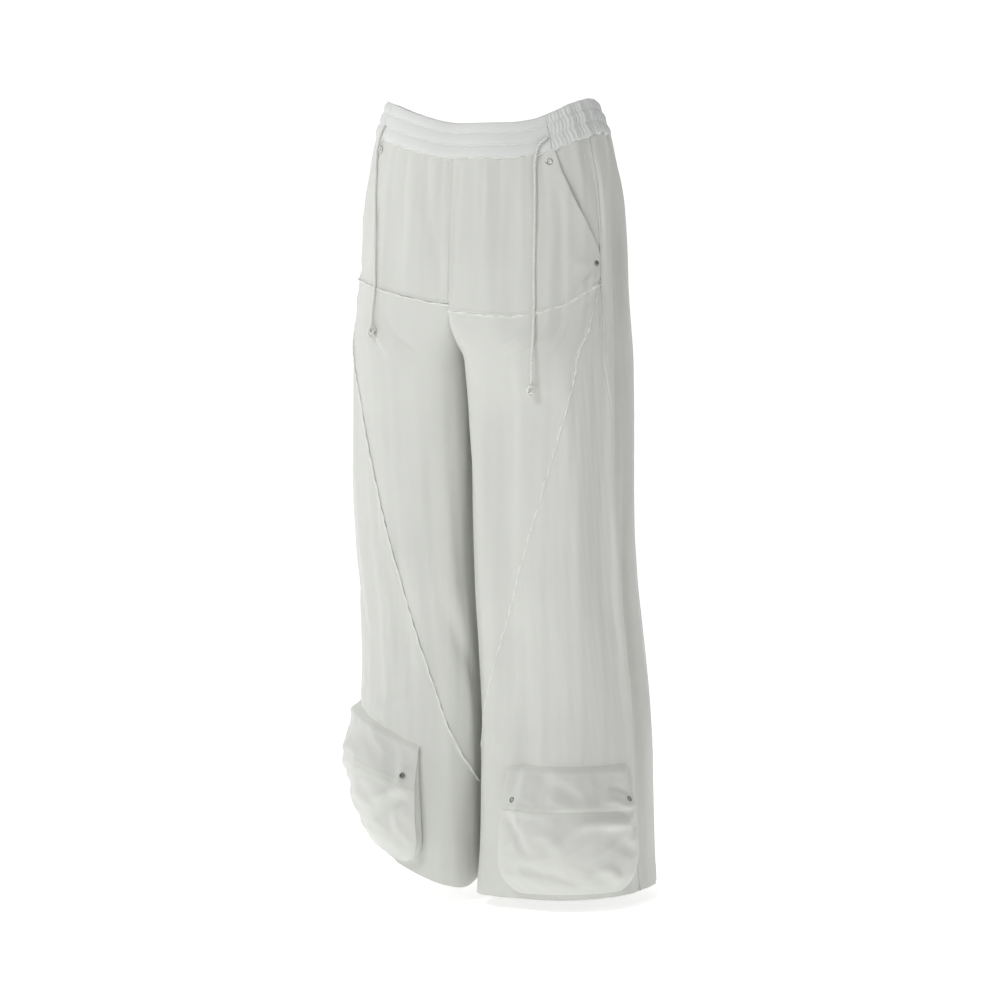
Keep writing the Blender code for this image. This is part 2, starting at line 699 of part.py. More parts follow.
def make_stud(name, place, normal, size, collection):
    """A round metal stud with a dished middle, its base at a place on the cloth."""
    diameter, height, dish = size
    shape = bmesh.new()
    bmesh.ops.create_cone(shape, cap_ends=True, segments=METAL_SEGMENTS, radius1=diameter / 2.0,
                          radius2=diameter * 0.42, depth=height)
    top = max(shape.faces, key=lambda face: face.calc_center_median().z)
    bmesh.ops.inset_individual(shape, faces=[top], thickness=diameter * 0.12)
    bmesh.ops.inset_individual(shape, faces=[top], thickness=diameter * 0.06)
    bmesh.ops.translate(shape, verts=list(top.verts), vec=Vector((0.0, 0.0, -dish)))
    centre = place + normal * height / 2.0
    turn_to = Vector((0.0, 0.0, 1.0)).rotation_difference(normal).to_matrix().to_4x4()
    bmesh.ops.transform(shape, matrix=Matrix.Translation(centre) @ turn_to, verts=shape.verts)
    place_mesh(name, shape, "metal", collection, smooth=True)


def make_metal(side, word, collection):
    make_stud("pocket_snap_" + word, *cloth_place(side, *POCKET_SNAP_PLACE), SNAP_SIZE, collection)
    make_stud("pocket_rivet_" + word, *cloth_place(side, *POCKET_RIVET_PLACE), RIVET_SIZE, collection)
    for which, across in (("inner", -FLAP_SNAP_ACROSS), ("outer", FLAP_SNAP_ACROSS)):
        make_stud("pouch_snap_" + which + "_" + word, *flap_place(side, across, FLAP_SNAP_SHARE),
                  FLAP_SNAP_SIZE, collection)


def smooth_route(points):
    """Evenly spaced points on a smooth curve through the route's own points."""
    points = np.array(points)
    run = np.concatenate(([0.0], np.cumsum(np.linalg.norm(np.diff(points, axis=0), axis=1))))
    count = int(round(run[-1] / CORD_POINT_SPACING)) + 1
    places = np.linspace(0.0, run[-1], count)
    return np.column_stack([curve_value(run, points[:, axis], places) for axis in range(3)])


def make_cord(side, word, collection):
    route = [cloth_points(side, turn, drop, out)[0] for turn, drop, out in CORD_ROUTES[word]]
    points = smooth_route(route)
    curve = bpy.data.curves.new("drawcord_" + word, "CURVE")
    curve.dimensions = "3D"
    curve.bevel_depth = CORD_DIAMETER / 2.0
    curve.bevel_resolution = 2
    curve.use_fill_caps = True
    spline = curve.splines.new("POLY")
    spline.points.add(len(points) - 1)
    for spline_point, point in zip(spline.points, points):
        spline_point.co = (*point, 1.0)
    place_object("drawcord_" + word, curve, "cord", collection)
    shape = bmesh.new()
    bmesh.ops.create_uvsphere(shape, u_segments=10, v_segments=7, radius=0.5)
    bmesh.ops.scale(shape, vec=Vector((KNOT_WIDTH, KNOT_WIDTH, KNOT_LENGTH)), verts=shape.verts)
    end = Vector(points[-1])
    heading = (end - Vector(points[-2])).normalized()
    middle = end + heading * (KNOT_LENGTH / 2.0 + LAYER_GAP)
    turn_to = Vector((0.0, 0.0, -1.0)).rotation_difference(heading).to_matrix().to_4x4()
    bmesh.ops.transform(shape, matrix=Matrix.Translation(middle) @ turn_to, verts=shape.verts)
    place_mesh("drawcord_knot_" + word, shape, "cord", collection, smooth=True)


def main():
    clear_scene()
    collection = bpy.data.collections.new("wide_leg_trousers")
    bpy.context.scene.collection.children.link(collection)
    make_waistband(collection)
    for side, word in ((+1, "left"), (-1, "right")):
        make_yoke(side, word, collection)
        make_facing(side, word, collection)
        make_legs(side, word, collection)
        make_pouch_face(side, word, collection)
        make_pouch_gusset(side, word, collection)
        make_pouch_flap(side, word, collection)
        make_metal(side, word, collection)
        make_cord(side, word, collection)


main()
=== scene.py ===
"""The looks of the wide-leg drawstring trousers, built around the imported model.

Metres, +Z up, front towards -Y, +X towards the wearer's left. Every piece of cloth lies on the same
surface as its solid: a side (+1 left, -1 right), a turn round one half (0 at the centre front or the
inseam, 1 outermost, 2 at the back) and a drop from the rim.
"""
from functools import lru_cache
import math

import bmesh
import bpy
from mathutils import Matrix, Vector
import numpy as np


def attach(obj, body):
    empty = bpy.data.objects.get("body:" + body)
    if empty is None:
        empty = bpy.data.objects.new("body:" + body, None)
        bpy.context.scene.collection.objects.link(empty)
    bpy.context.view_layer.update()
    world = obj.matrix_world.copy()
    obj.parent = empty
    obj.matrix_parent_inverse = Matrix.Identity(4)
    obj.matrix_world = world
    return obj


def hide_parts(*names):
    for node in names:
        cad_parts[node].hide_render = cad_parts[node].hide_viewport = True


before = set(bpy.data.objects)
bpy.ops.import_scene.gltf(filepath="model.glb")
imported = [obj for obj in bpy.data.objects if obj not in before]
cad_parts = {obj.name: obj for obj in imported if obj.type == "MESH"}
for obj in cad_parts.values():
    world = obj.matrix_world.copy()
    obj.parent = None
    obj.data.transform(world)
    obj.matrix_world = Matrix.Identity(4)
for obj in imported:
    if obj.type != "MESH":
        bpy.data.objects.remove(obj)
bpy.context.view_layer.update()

# Cloth and seams
SHELL = 0.0011
SEAM_GAP = 0.0003
LAYER_GAP = 0.0004
POUCH_BASE_GAP = 0.0009

# Lengths down the garment
BAND_HEIGHT = 0.046
HIP_SEAM = 0.236
CROTCH = 0.345
HEM = 1.046
RIM_HEIGHT = BAND_HEIGHT / 2

# How far the rim and the hip seam dip at each turn, and how much further the left hip seam does
WAIST_COLUMNS = ("turn", "left", "right", "left_hip")
WAIST_LINE = np.array((
    (0.00, 0.0350, 0.0350, 0.008),
    (0.10, 0.0350, 0.0320, 0.010),
    (0.20, 0.0350, 0.0270, 0.013),
    (0.35, 0.0350, 0.0185, 0.015),
    (0.50, 0.0316, 0.0095, 0.012),
    (0.65, 0.0210, 0.0025, 0.010),
    (0.80, 0.0086, -0.0005, 0.002),
    (1.00, 0.0010, 0.0015, 0.000),
    (1.20, 0.0055, 0.0095, 0.000),
    (1.40, 0.0155, 0.0205, 0.000),
    (1.60, 0.0245, 0.0275, 0.000),
    (2.00, 0.0290, 0.0290, 0.000),
))
HIP_DIP_STARTS = 0.10
HIP_DIP_ENDS = 0.40

# How the hems hang
INSEAM_RISE = 0.036
RIGHT_HEM_LIFT = 0.068
LIFT_STARTS = 0.50
LIFT_FULL = 0.86
RIGHT_HEM_TUCK = 0.034
TUCK_STARTS = 0.89
TUCK_FULL = 1.03

# Plan of one half at each drop, as in the solids
SECTION_COLUMNS = ("drop", "side", "front", "back", "crest", "notch", "apart", "lean")
SECTIONS = np.array((
    (0.000, 0.143, -0.090, 0.108, 0.020, 0.00, 0.00025, 0.000),
    (0.046, 0.160, -0.103, 0.124, 0.020, 0.00, 0.00025, 0.000),
    (0.120, 0.174, -0.112, 0.138, 0.025, 0.00, 0.00025, 0.000),
    (0.200, 0.180, -0.118, 0.143, 0.040, 0.00, 0.00025, 0.000),
    (0.250, 0.182, -0.120, 0.142, 0.055, 0.05, 0.00025, 0.000),
    (0.300, 0.185, -0.118, 0.137, 0.074, 0.40, 0.00060, 0.000),
    (0.345, 0.187, -0.114, 0.130, 0.088, 1.00, 0.00150, 0.000),
    (0.420, 0.190, -0.105, 0.116, 0.096, 1.00, 0.00300, 0.000),
    (0.520, 0.192, -0.103, 0.110, 0.097, 1.00, 0.00300, 0.001),
    (0.640, 0.192, -0.098, 0.114, 0.097, 1.00, 0.00300, 0.004),
    (0.720, 0.194, -0.092, 0.124, 0.098, 1.00, 0.00300, 0.007),
    (0.800, 0.197, -0.092, 0.136, 0.099, 1.00, 0.00300, 0.010),
    (0.900, 0.200, -0.100, 0.151, 0.100, 1.00, 0.00300, 0.011),
    (1.060, 0.203, -0.108, 0.162, 0.101, 1.00, 0.00300, 0.011),
))
SQUARENESS = 2.15
INNER_SQUARENESS = 4.5
SECTION_SAMPLES = 513

# Seam lines as drop and turn
SIDE_SEAM = np.array((
    (0.000, 0.84),
    (0.240, 0.85),
    (0.500, 0.93),
    (0.800, 0.965),
    (1.060, 0.985),
))
DIAGONAL_SEAMS = {+1: np.array((
    (0.236, 0.838),
    (0.274, 0.785),
    (0.313, 0.752),
    (0.345, 0.742),
    (0.405, 0.690),
    (0.470, 0.630),
    (0.570, 0.528),
    (0.700, 0.394),
    (0.840, 0.256),
    (0.900, 0.150),
    (0.950, 0.000),
)), -1: np.array((
    (0.236, 0.838),
    (0.274, 0.785),
    (0.313, 0.745),
    (0.345, 0.720),
    (0.405, 0.650),
    (0.470, 0.600),
    (0.570, 0.520),
    (0.700, 0.430),
    (0.840, 0.300),
    (0.900, 0.200),
    (0.950, 0.000),
))}
DIAGONAL_TIP = 0.945
POCKET_END = 0.198
POCKET_EDGE = np.array((
    (0.046, 0.612),
    (0.075, 0.635),
    (0.110, 0.680),
    (0.150, 0.750),
    (0.198, 0.8465),
))

# Soft folds that run down the cloth, as in the solids: side, turn, drift of the turn for each
# metre, first and last drop, half width as a turn, and height
FOLDS = (
    (+1, 0.90, 0.03, 0.04, 1.06, 0.028, 0.0045),
    (+1, 0.985, 0.04, 0.08, 1.06, 0.028, -0.0045),
    (+1, 1.08, 0.02, 0.04, 0.90, 0.035, 0.0060),
    (+1, 0.44, 0.06, 0.36, 0.98, 0.050, -0.0035),
    (+1, 0.25, 0.02, 0.40, 1.06, 0.045, -0.0040),
    (+1, 0.36, -0.02, 0.05, 0.30, 0.050, -0.0030),
    (+1, 0.60, 0.05, 0.05, 0.34, 0.040, -0.0025),
    (+1, 1.30, 0.05, 0.05, 1.06, 0.050, -0.0060),
    (+1, 1.45, 0.00, 0.30, 1.06, 0.050, 0.0060),
    (+1, 1.62, 0.02, 0.05, 0.95, 0.045, -0.0050),
    (-1, 0.88, 0.05, 0.04, 0.80, 0.030, 0.0040),
    (-1, 0.98, 0.03, 0.08, 1.06, 0.030, -0.0045),
    (-1, 1.09, 0.01, 0.04, 1.00, 0.035, 0.0060),
    (-1, 0.62, -0.05, 0.38, 0.90, 0.050, -0.0030),
    (-1, 0.33, 0.04, 0.42, 0.98, 0.045, -0.0040),
    (-1, 0.20, 0.12, 0.62, 0.98, 0.035, 0.0040),
    (-1, 0.30, 0.10, 0.05, 0.29, 0.050, -0.0035),
    (-1, 0.58, 0.05, 0.05, 0.30, 0.045, -0.0025),
    (-1, 1.27, 0.04, 0.05, 1.06, 0.050, -0.0060),
    (-1, 1.43, 0.02, 0.28, 1.06, 0.050, 0.0055),
    (-1, 1.66, 0.00, 0.05, 1.00, 0.045, -0.0055),
)
FOLD_FADE = 0.10

# Finer creases, each a line from one place to another: side, turn and drop of both ends, half
# width and height. They soften to nothing at their ends.
CREASES = (
    (+1, 0.21, 0.052, 0.19, 0.190, 0.0075, 0.0008),
    (+1, 0.33, 0.050, 0.32, 0.215, 0.0090, -0.0009),
    (+1, 0.47, 0.050, 0.50, 0.150, 0.0060, -0.0007),
    (+1, 0.55, 0.085, 0.57, 0.235, 0.0100, 0.0011),
    (+1, 0.82, 0.208, 0.66, 0.232, 0.0055, -0.0016),
    (+1, 0.82, 0.212, 0.72, 0.262, 0.0050, 0.0015),
    (+1, 0.83, 0.215, 0.78, 0.300, 0.0050, -0.0016),
    (+1, 0.80, 0.205, 0.64, 0.190, 0.0060, 0.0012),
    (-1, 0.17, 0.050, 0.05, 0.225, 0.0100, -0.0012),
    (-1, 0.31, 0.100, 0.32, 0.205, 0.0055, 0.0009),
    (-1, 0.42, 0.048, 0.42, 0.130, 0.0060, -0.0007),
    (-1, 0.82, 0.208, 0.64, 0.235, 0.0060, -0.0015),
    (-1, 0.82, 0.214, 0.74, 0.280, 0.0050, 0.0014),
    (+1, 0.14, 0.400, 0.17, 0.800, 0.0120, -0.0022),
    (+1, 0.33, 0.420, 0.36, 0.860, 0.0140, 0.0020),
    (+1, 0.52, 0.300, 0.60, 0.660, 0.0130, -0.0020),
    (+1, 0.68, 0.350, 0.74, 0.840, 0.0140, 0.0022),
    (+1, 0.80, 0.300, 0.86, 0.700, 0.0100, -0.0020),
    (+1, 0.47, 0.700, 0.44, 0.870, 0.0120, 0.0016),
    (-1, 0.12, 0.450, 0.16, 0.900, 0.0120, -0.0020),
    (-1, 0.44, 0.400, 0.40, 0.840, 0.0140, 0.0020),
    (-1, 0.55, 0.450, 0.50, 0.780, 0.0120, -0.0018),
    (-1, 0.72, 0.330, 0.70, 0.700, 0.0130, 0.0020),
    (-1, 0.30, 0.640, 0.19, 0.800, 0.0100, -0.0026),
    (-1, 0.42, 0.760, 0.60, 0.850, 0.0090, -0.0022),
    (-1, 0.40, 0.800, 0.66, 0.880, 0.0080, 0.0018),
    (-1, 0.86, 0.640, 0.66, 0.780, 0.0100, -0.0022),
    (+1, 0.925, 0.052, 0.950, 0.560, 0.0070, -0.0048),
    (+1, 0.955, 0.060, 0.985, 0.540, 0.0060, 0.0026),
    (+1, 0.995, 0.050, 1.010, 0.620, 0.0080, -0.0056),
    (+1, 0.945, 0.470, 0.965, 1.080, 0.0075, -0.0050),
    (+1, 1.010, 0.500, 1.020, 1.080, 0.0085, -0.0056),
    (+1, 0.912, 0.060, 0.930, 0.620, 0.0034, -0.0024),
    (+1, 0.958, 0.050, 0.975, 0.700, 0.0034, -0.0030),
    (+1, 1.030, 0.050, 1.040, 0.900, 0.0034, -0.0030),
    (+1, 0.985, 0.400, 1.000, 1.090, 0.0034, -0.0030),
    (+1, 0.950, 0.700, 0.985, 1.090, 0.0034, -0.0024),
    (+1, 0.900, 0.300, 0.920, 0.900, 0.0060, 0.0022),
    (+1, 0.870, 0.052, 0.880, 0.260, 0.0040, 0.0018),
    (+1, 0.895, 0.052, 0.905, 0.200, 0.0032, -0.0018),
    (-1, 0.905, 0.060, 0.940, 0.500, 0.0050, -0.0026),
    (-1, 0.980, 0.200, 1.000, 0.860, 0.0050, -0.0030),
    (+1, 1.20, 0.060, 1.22, 0.300, 0.0090, -0.0020),
    (+1, 1.38, 0.050, 1.36, 0.260, 0.0080, 0.0018),
    (+1, 1.52, 0.050, 1.55, 0.330, 0.0100, -0.0022),
    (+1, 1.80, 0.055, 1.82, 0.240, 0.0080, 0.0016),
    (+1, 1.97, 0.330, 1.70, 0.400, 0.0100, -0.0030),
    (+1, 1.96, 0.350, 1.76, 0.460, 0.0090, 0.0024),
    (+1, 1.97, 0.315, 1.60, 0.350, 0.0100, -0.0022),
    (+1, 1.20, 0.420, 1.17, 0.900, 0.0130, 0.0026),
    (+1, 1.56, 0.480, 1.60, 0.980, 0.0140, -0.0028),
    (+1, 1.74, 0.420, 1.72, 0.850, 0.0130, 0.0024),
    (+1, 1.86, 0.500, 1.90, 1.000, 0.0120, -0.0024),
    (-1, 1.18, 0.055, 1.21, 0.280, 0.0090, -0.0020),
    (-1, 1.35, 0.050, 1.33, 0.300, 0.0080, 0.0018),
    (-1, 1.50, 0.050, 1.54, 0.290, 0.0100, -0.0022),
    (-1, 1.78, 0.055, 1.80, 0.260, 0.0080, 0.0016),
    (-1, 1.97, 0.330, 1.72, 0.410, 0.0100, -0.0030),
    (-1, 1.96, 0.350, 1.78, 0.470, 0.0090, 0.0024),
    (-1, 1.97, 0.315, 1.62, 0.345, 0.0100, -0.0022),
    (-1, 1.17, 0.400, 1.20, 0.940, 0.0130, 0.0024),
    (-1, 1.54, 0.440, 1.50, 0.960, 0.0140, -0.0028),
    (-1, 1.76, 0.460, 1.79, 0.900, 0.0130, 0.0024),
    (-1, 1.88, 0.520, 1.84, 0.980, 0.0120, -0.0022),
)
TURN_LENGTH = 0.30
CREASE_GAIN = 1.5
CREASE_BOW = 0.5

# Slow unevenness of the hanging cloth: height, waves for each turn, waves for each metre, phase
UNEVEN = (
    (0.0009, 3.1, 0.9, 0.4),
    (0.0008, 5.3, -1.3, 1.9),
    (0.0007, 8.7, 1.6, 2.6),
    (0.00042, 15.0, 2.3, 0.9),
    (0.00020, 27.0, -5.0, 4.1),
)

# Seams: a raised, slightly wavy welt with a fine line, and small puckers
WELT_HEIGHT = 0.0014
WELT_PLACE = 0.0012
WELT_WIDTH = 0.0016
GROOVE_DEPTH = 0.0003
GROOVE_WIDTH = 0.0006
PUCKER_HEIGHT = 0.00035
PUCKER_LENGTH = 0.0105
PUCKER_REACH = 0.007

# Grids: the fine steps from each edge, and the step between them
EDGE_STEPS = (0.0, 0.0007, 0.0015, 0.0024, 0.0034, 0.0048, 0.0068)
CLOTH_STEP = 0.0046
SIDE_STEP = 0.0031
POUCH_STEP = 0.0026

# Seam allowances: width, thickness and depth below the cloth's outer face
ALLOWANCE = 0.009
ALLOWANCE_SHELL = 0.0006
ALLOWANCE_DEPTH = 0.0006

# Raised edges along the seams: radius, how far and over what length they waver, and how far they
# and the rows of stitches lie from the seams. The hem's fold is as deep as its last row of stitches.
EDGE_RADIUS = 0.00125
EDGE_WAVER = 0.0006
EDGE_WAVE_LENGTH = 0.0047
EDGE_INSET = 0.0008
STITCH_INSET = 0.0052
HEM_FOLD = 0.022

# Waistband
FRONT_BAND_END = 0.60
CHANNEL_LINES = (0.0, 0.013, 0.029, BAND_HEIGHT)
CHANNEL_RAISE = 0.0012
GATHERS_A_SIDE = 14
GATHER_RAISE = 0.0022

# Pouch, as in the solids
POUCH_INNER = 0.41
POUCH_OUTER = 0.885
POUCH_TOP = 0.884
POUCH_BOTTOM = 1.036
POUCH_CORNER_START = 0.72
POUCH_CORNER_INSET = 0.36
POUCH_RELIEF = np.array((
    (0.00, 0.0036, 0.007),
    (0.15, 0.0105, 0.0165),
    (0.30, 0.018, 0.026),
    (0.60, 0.021, 0.033),
    (0.85, 0.018, 0.027),
    (1.00, 0.013, 0.015),
))
POUCH_HALF_WIDTH = 0.087
FLAP_ROOT = 0.012
CRUMPLE_HEIGHT = 0.0013
CRUMPLE_DEPTH = 0.0042
FLAP_END_SHARE = 0.30

# Creases of the pouches' faces and flaps: side, across and down of both ends in metres, half
# width and height. Across is 0 in the middle and grows to the outer side.
POUCH_CREASES = (
    (+1, -0.005, 0.066, 0.080, 0.058, 0.0075, 0.0042),
    (+1, -0.030, 0.052, 0.082, 0.046, 0.0060, -0.0036),
    (+1, -0.086, 0.050, -0.040, 0.105, 0.0060, -0.0034),
    (+1, -0.070, 0.040, -0.058, 0.100, 0.0050, 0.0022),
    (+1, 0.030, 0.085, 0.084, 0.100, 0.0090, -0.0034),
    (+1, -0.060, 0.120, 0.010, 0.135, 0.0070, -0.0026),
    (+1, 0.020, 0.120, 0.070, 0.138, 0.0060, 0.0022),
    (+1, -0.040, 0.070, -0.005, 0.100, 0.0080, 0.0020),
    (+1, 0.055, 0.050, 0.084, 0.072, 0.0045, -0.0022),
    (-1, -0.084, 0.045, -0.030, 0.080, 0.0065, 0.0036),
    (-1, -0.080, 0.060, -0.020, 0.110, 0.0060, -0.0038),
    (-1, -0.060, 0.045, -0.045, 0.130, 0.0055, -0.0026),
    (-1, 0.010, 0.050, 0.080, 0.075, 0.0080, 0.0034),
    (-1, 0.000, 0.075, 0.070, 0.105, 0.0070, -0.0030),
    (-1, -0.030, 0.120, 0.050, 0.130, 0.0070, -0.0024),
)
FLAP_CREASES = (
    (+1, -0.064, -0.010, -0.058, 0.055, 0.0110, 0.0034),
    (+1, -0.042, -0.010, -0.030, 0.050, 0.0090, -0.0046),
    (+1, -0.030, 0.016, 0.012, 0.024, 0.0080, -0.0020),
    (+1, 0.030, -0.008, 0.028, 0.046, 0.0100, -0.0030),
    (+1, 0.048, -0.010, 0.082, 0.004, 0.0090, 0.0036),
    (+1, 0.030, 0.034, 0.078, 0.040, 0.0045, 0.0030),
    (+1, 0.045, 0.018, 0.086, 0.026, 0.0050, -0.0030),
    (-1, -0.066, -0.004, -0.050, 0.052, 0.0100, -0.0040),
    (-1, -0.020, 0.010, 0.040, 0.022, 0.0090, -0.0026),
    (-1, 0.020, -0.004, 0.086, 0.006, 0.0080, 0.0032),
    (-1, -0.082, 0.020, -0.060, 0.050, 0.0060, 0.0034),
    (-1, -0.010, 0.034, 0.060, 0.040, 0.0050, 0.0024),
)

# Metal pieces: diameter and height
SNAP_SIZE = (0.0105, 0.0022)
RIVET_SIZE = (0.0075, 0.0018)
FLAP_SNAP_SIZE = (0.0080, 0.0020)
POCKET_SNAP_PLACE = (0.575, 0.060)
POCKET_RIVET_PLACE = (0.815, 0.2085)
FLAP_SNAP_ACROSS = 0.84
FLAP_SNAP_SHARE = 0.22
METAL_SEGMENTS = 32

# Drawcord, as in the solids: the turn, drop and height over the cloth of points along each route
CORD_ROUTES = {
    "left": (
        (0.586, 0.0290, 0.0028),
        (0.564, 0.0310, 0.0044),
        (0.538, 0.0335, 0.0044),
        (0.512, 0.0410, 0.0042),
        (0.492, 0.0580, 0.0030),
        (0.482, 0.0840, 0.0027),
        (0.473, 0.1180, 0.0027),
        (0.466, 0.1550, 0.0027),
        (0.461, 0.1900, 0.0027),
        (0.461, 0.2260, 0.0030),
        (0.461, 0.2540, 0.0036),
        (0.476, 0.2780, 0.0044),
        (0.523, 0.3120, 0.0056),
        (0.570, 0.3370, 0.0072),
        (0.572, 0.3550, 0.0080),
        (0.566, 0.3720, 0.0082),
    ),
    "right": (
        (0.586, 0.0290, 0.0028),
        (0.588, 0.0370, 0.0044),
        (0.598, 0.0470, 0.0042),
        (0.607, 0.0580, 0.0030),
        (0.604, 0.0670, 0.0027),
        (0.584, 0.0830, 0.0026),
        (0.560, 0.1060, 0.0026),
        (0.518, 0.1390, 0.0026),
        (0.482, 0.1790, 0.0027),
        (0.457, 0.2160, 0.0030),
        (0.447, 0.2340, 0.0033),
        (0.448, 0.2530, 0.0037),
        (0.460, 0.2740, 0.0044),
        (0.478, 0.2940, 0.0052),
    ),
}
CORD_STEP = 0.0009
CORD_TWIST = 0.0110
STRANDS = 2
STRAND_RADIUS = 0.00115
STRAND_OFFSET = 0.00088
KNOT_WIDTH = 0.0115
KNOT_LENGTH = 0.0165
KNOT_STRAND_RADIUS = 0.0011
TUFT_STRANDS = 26
TUFT_REACH = 0.0024
GOLDEN_ANGLE = 2.399963

# Camera: its place round the trousers, its height as a drop, and what the picture takes in
CAMERA_AZIMUTH = 26.5
CAMERA_DROP = 0.30
CAMERA_AIM_DROP = 0.532
CAMERA_DISTANCE = 4.5
PICTURE_HEIGHT = 1.338
CAMERA_RIGHT = 0.0141
FLOOR_DROP = 1.062

# Stage: how far it reaches towards the camera and away from it, the radius of its bend, its top
# and half width, and its glow
STAGE_NEAR = -9.0
STAGE_FAR = 3.0
STAGE_BEND = 2.0
STAGE_BEND_STEPS = 12
STAGE_TOP = 9.0
STAGE_HALF_WIDTH = 9.0
STAGE_GREY = 0.95
STAGE_GLOW = 0.62

# Lights: name, degrees round the trousers, degrees up, distance, size and power
LIGHTS = (
    ("key_light", -14.0, 40.0, 3.2, 1.0, 30.0),
    ("left_light", -80.0, 22.0, 3.0, 0.8, 13.0),
    ("right_light", 84.0, 20.0, 3.0, 0.6, 3.5),
    ("top_light", 10.0, 70.0, 3.0, 2.0, 9.0),
)
LIGHT_AIM_HEIGHT = -0.5
WORLD_LIGHT = 0.20

# Cloths: what they are for, name, colour, size of the weave, sheen and strength of the weave
CLOTHS = (
    ("cloth", "off_white_cloth", (0.735, 0.745, 0.705), 0.00042, 0.25, 0.35),
    ("pouch", "off_white_pouch_cloth", (0.745, 0.755, 0.715), 0.00042, 0.30, 0.35),
    ("band", "off_white_band", (0.80, 0.815, 0.80), 0.00036, 0.25, 0.35),
    ("cord", "off_white_cord", (0.84, 0.845, 0.81), 0.0003, 0.25, 0.50),
    # The edge cloth is lighter than the cloth it is made of: painted highlight along the raised seam and band
    # edges.
    ("edge", "off_white_edge", (0.90, 0.905, 0.875), 0.0004, 0.25, 0.35),
    ("thread", "off_white_thread", (0.80, 0.805, 0.77), 0.0002, 0.25, 0.35),
)
CLOTH_ROUGHNESS = 0.78
SHEEN_ROUGHNESS = 0.45
METALS = (
    ("bright", "nickel", (0.72, 0.72, 0.72), 0.28),
    # The dark metal is the rivet's and the flap snaps' own colour, and also paints the shade in the pocket
    # snap's hollow.
    ("dark", "dark_nickel_and_painted_shade", (0.30, 0.30, 0.31), 0.36),
)

# Textures of the cloth: scale of the crumples, slubs and clouds of colour, depth of the weave, slubs
# and crumples, the darkest and lightest share of the colour, and the painted shade in the weave's gaps
CRUMPLE_SCALE = 55.0
SLUB_SCALE = 900.0
CLOUD_SCALE = 6.5
WEAVE_DEPTH = 0.00018
SLUB_DEPTH = 0.0002
SOFT_DEPTH = 0.0022
CLOUD_SHADES = (0.965, 1.02)
WEAVE_SHADE = 0.10


def smooth_step(low, high, value):
    share = np.clip((value - low) / (high - low), 0.0, 1.0)
    return share * share * (3.0 - 2.0 * share)


def curve_value(places, values, place):
    """A smooth curve through the table's rows, with no swing past them."""
    steps = np.diff(places)
    slopes = np.diff(values) / steps
    product = slopes[:-1] * slopes[1:]
    total = slopes[:-1] + slopes[1:]
    inner = np.where(product > 0.0, 2.0 * product / np.where(product > 0.0, total, 1.0), 0.0)
    tangents = np.concatenate((slopes[:1], inner, slopes[-1:]))
    place = np.clip(place, places[0], places[-1])
    row = np.clip(np.searchsorted(places, place) - 1, 0, len(steps) - 1)
    share = (place - places[row]) / steps[row]
    rest = 1.0 - share
    return ((1.0 + 2.0 * share) * rest ** 2 * values[row]
            + share * rest ** 2 * steps[row] * tangents[row]
            + share ** 2 * (3.0 - 2.0 * share) * values[row + 1]
            - share ** 2 * rest * steps[row] * tangents[row + 1])


def section_size(column, drop):
    values = SECTIONS[:, SECTION_COLUMNS.index(column)]
    return float(curve_value(SECTIONS[:, 0], values, drop))


def seam_turn(seam, drop):
    return curve_value(seam[:, 0], seam[:, 1], np.asarray(drop, dtype=float))


def quarter_round(start_x, start_y, end_x, end_y, squareness=SQUARENESS):
    angle = np.linspace(0.0, math.pi / 2.0, 97)
    power = 2.0 / squareness
    x = start_x + (end_x - start_x) * np.sin(angle) ** power
    y = end_y + (start_y - end_y) * np.abs(np.cos(angle)) ** power
    return np.column_stack((x, y))


def line_run(line):
    """Length along a line of points, at each point."""
    return np.concatenate(([0.0], np.cumsum(np.hypot(*np.diff(line, axis=0).T))))


@lru_cache(maxsize=None)
def half_section(drop):
    """Plan of one half at a drop: even turns, points, outward directions, and the front's length."""
    side = section_size("side", drop)
    front = section_size("front", drop)
    back = section_size("back", drop)
    crest = section_size("crest", drop)
    notch = section_size("notch", drop)
    apart = section_size("apart", drop)
    middle = (front + back) / 2.0
    centre_y = front + notch * (middle - front)
    inner_line = quarter_round(crest, front, apart, centre_y, INNER_SQUARENESS)[::-1]
    outer_line = quarter_round(crest, front, side, middle)
    front_line = np.concatenate((inner_line, outer_line[1:]))
    back_line = np.concatenate((
        quarter_round(crest, back, side, middle)[::-1],
        quarter_round(crest, back, apart, back + notch * (middle - back))[1:]))
    # The turn is spread over the inner front as though it were as round as the rest
    inner_run = line_run(inner_line)
    plain_length = line_run(quarter_round(crest, front, apart, centre_y))[-1]
    front_run = np.concatenate((inner_run * plain_length / inner_run[-1],
                                plain_length + line_run(outer_line)[1:]))
    turns = np.linspace(0.0, 2.0, SECTION_SAMPLES)
    halves = []
    lengths = []
    for first_turn, line, run in ((0.0, front_line, front_run), (1.0, back_line, line_run(back_line))):
        share = np.clip(turns - first_turn, 0.0, 1.0) * run[-1]
        halves.append(np.column_stack((np.interp(share, run, line[:, 0]), np.interp(share, run, line[:, 1]))))
        lengths.append(run[-1])
    points = np.where((turns <= 1.0)[:, None], halves[0], halves[1])
    along = np.gradient(points, axis=0)
    along /= np.linalg.norm(along, axis=1)[:, None]
    outward = np.column_stack((along[:, 1], -along[:, 0]))
    return turns, points, outward, lengths[0], lengths[1]


def front_length(drop):
    return half_section(round(float(drop), 6))[3]


def fold_height(side, turn, drop):
    height = np.zeros_like(turn)
    for fold_side, place, drift, top, bottom, width, raise_by in FOLDS:
        if fold_side != side:
            continue
        reach = smooth_step(top, top + FOLD_FADE, drop)
        reach = reach * (1.0 - smooth_step(bottom - FOLD_FADE, bottom, drop))
        centre = place + drift * (drop - top)
        height = height + raise_by * reach * np.exp(-((turn - centre) / width) ** 2)
    return height


def waist_size(column, turn):
    return curve_value(WAIST_LINE[:, 0], WAIST_LINE[:, WAIST_COLUMNS.index(column)], turn)


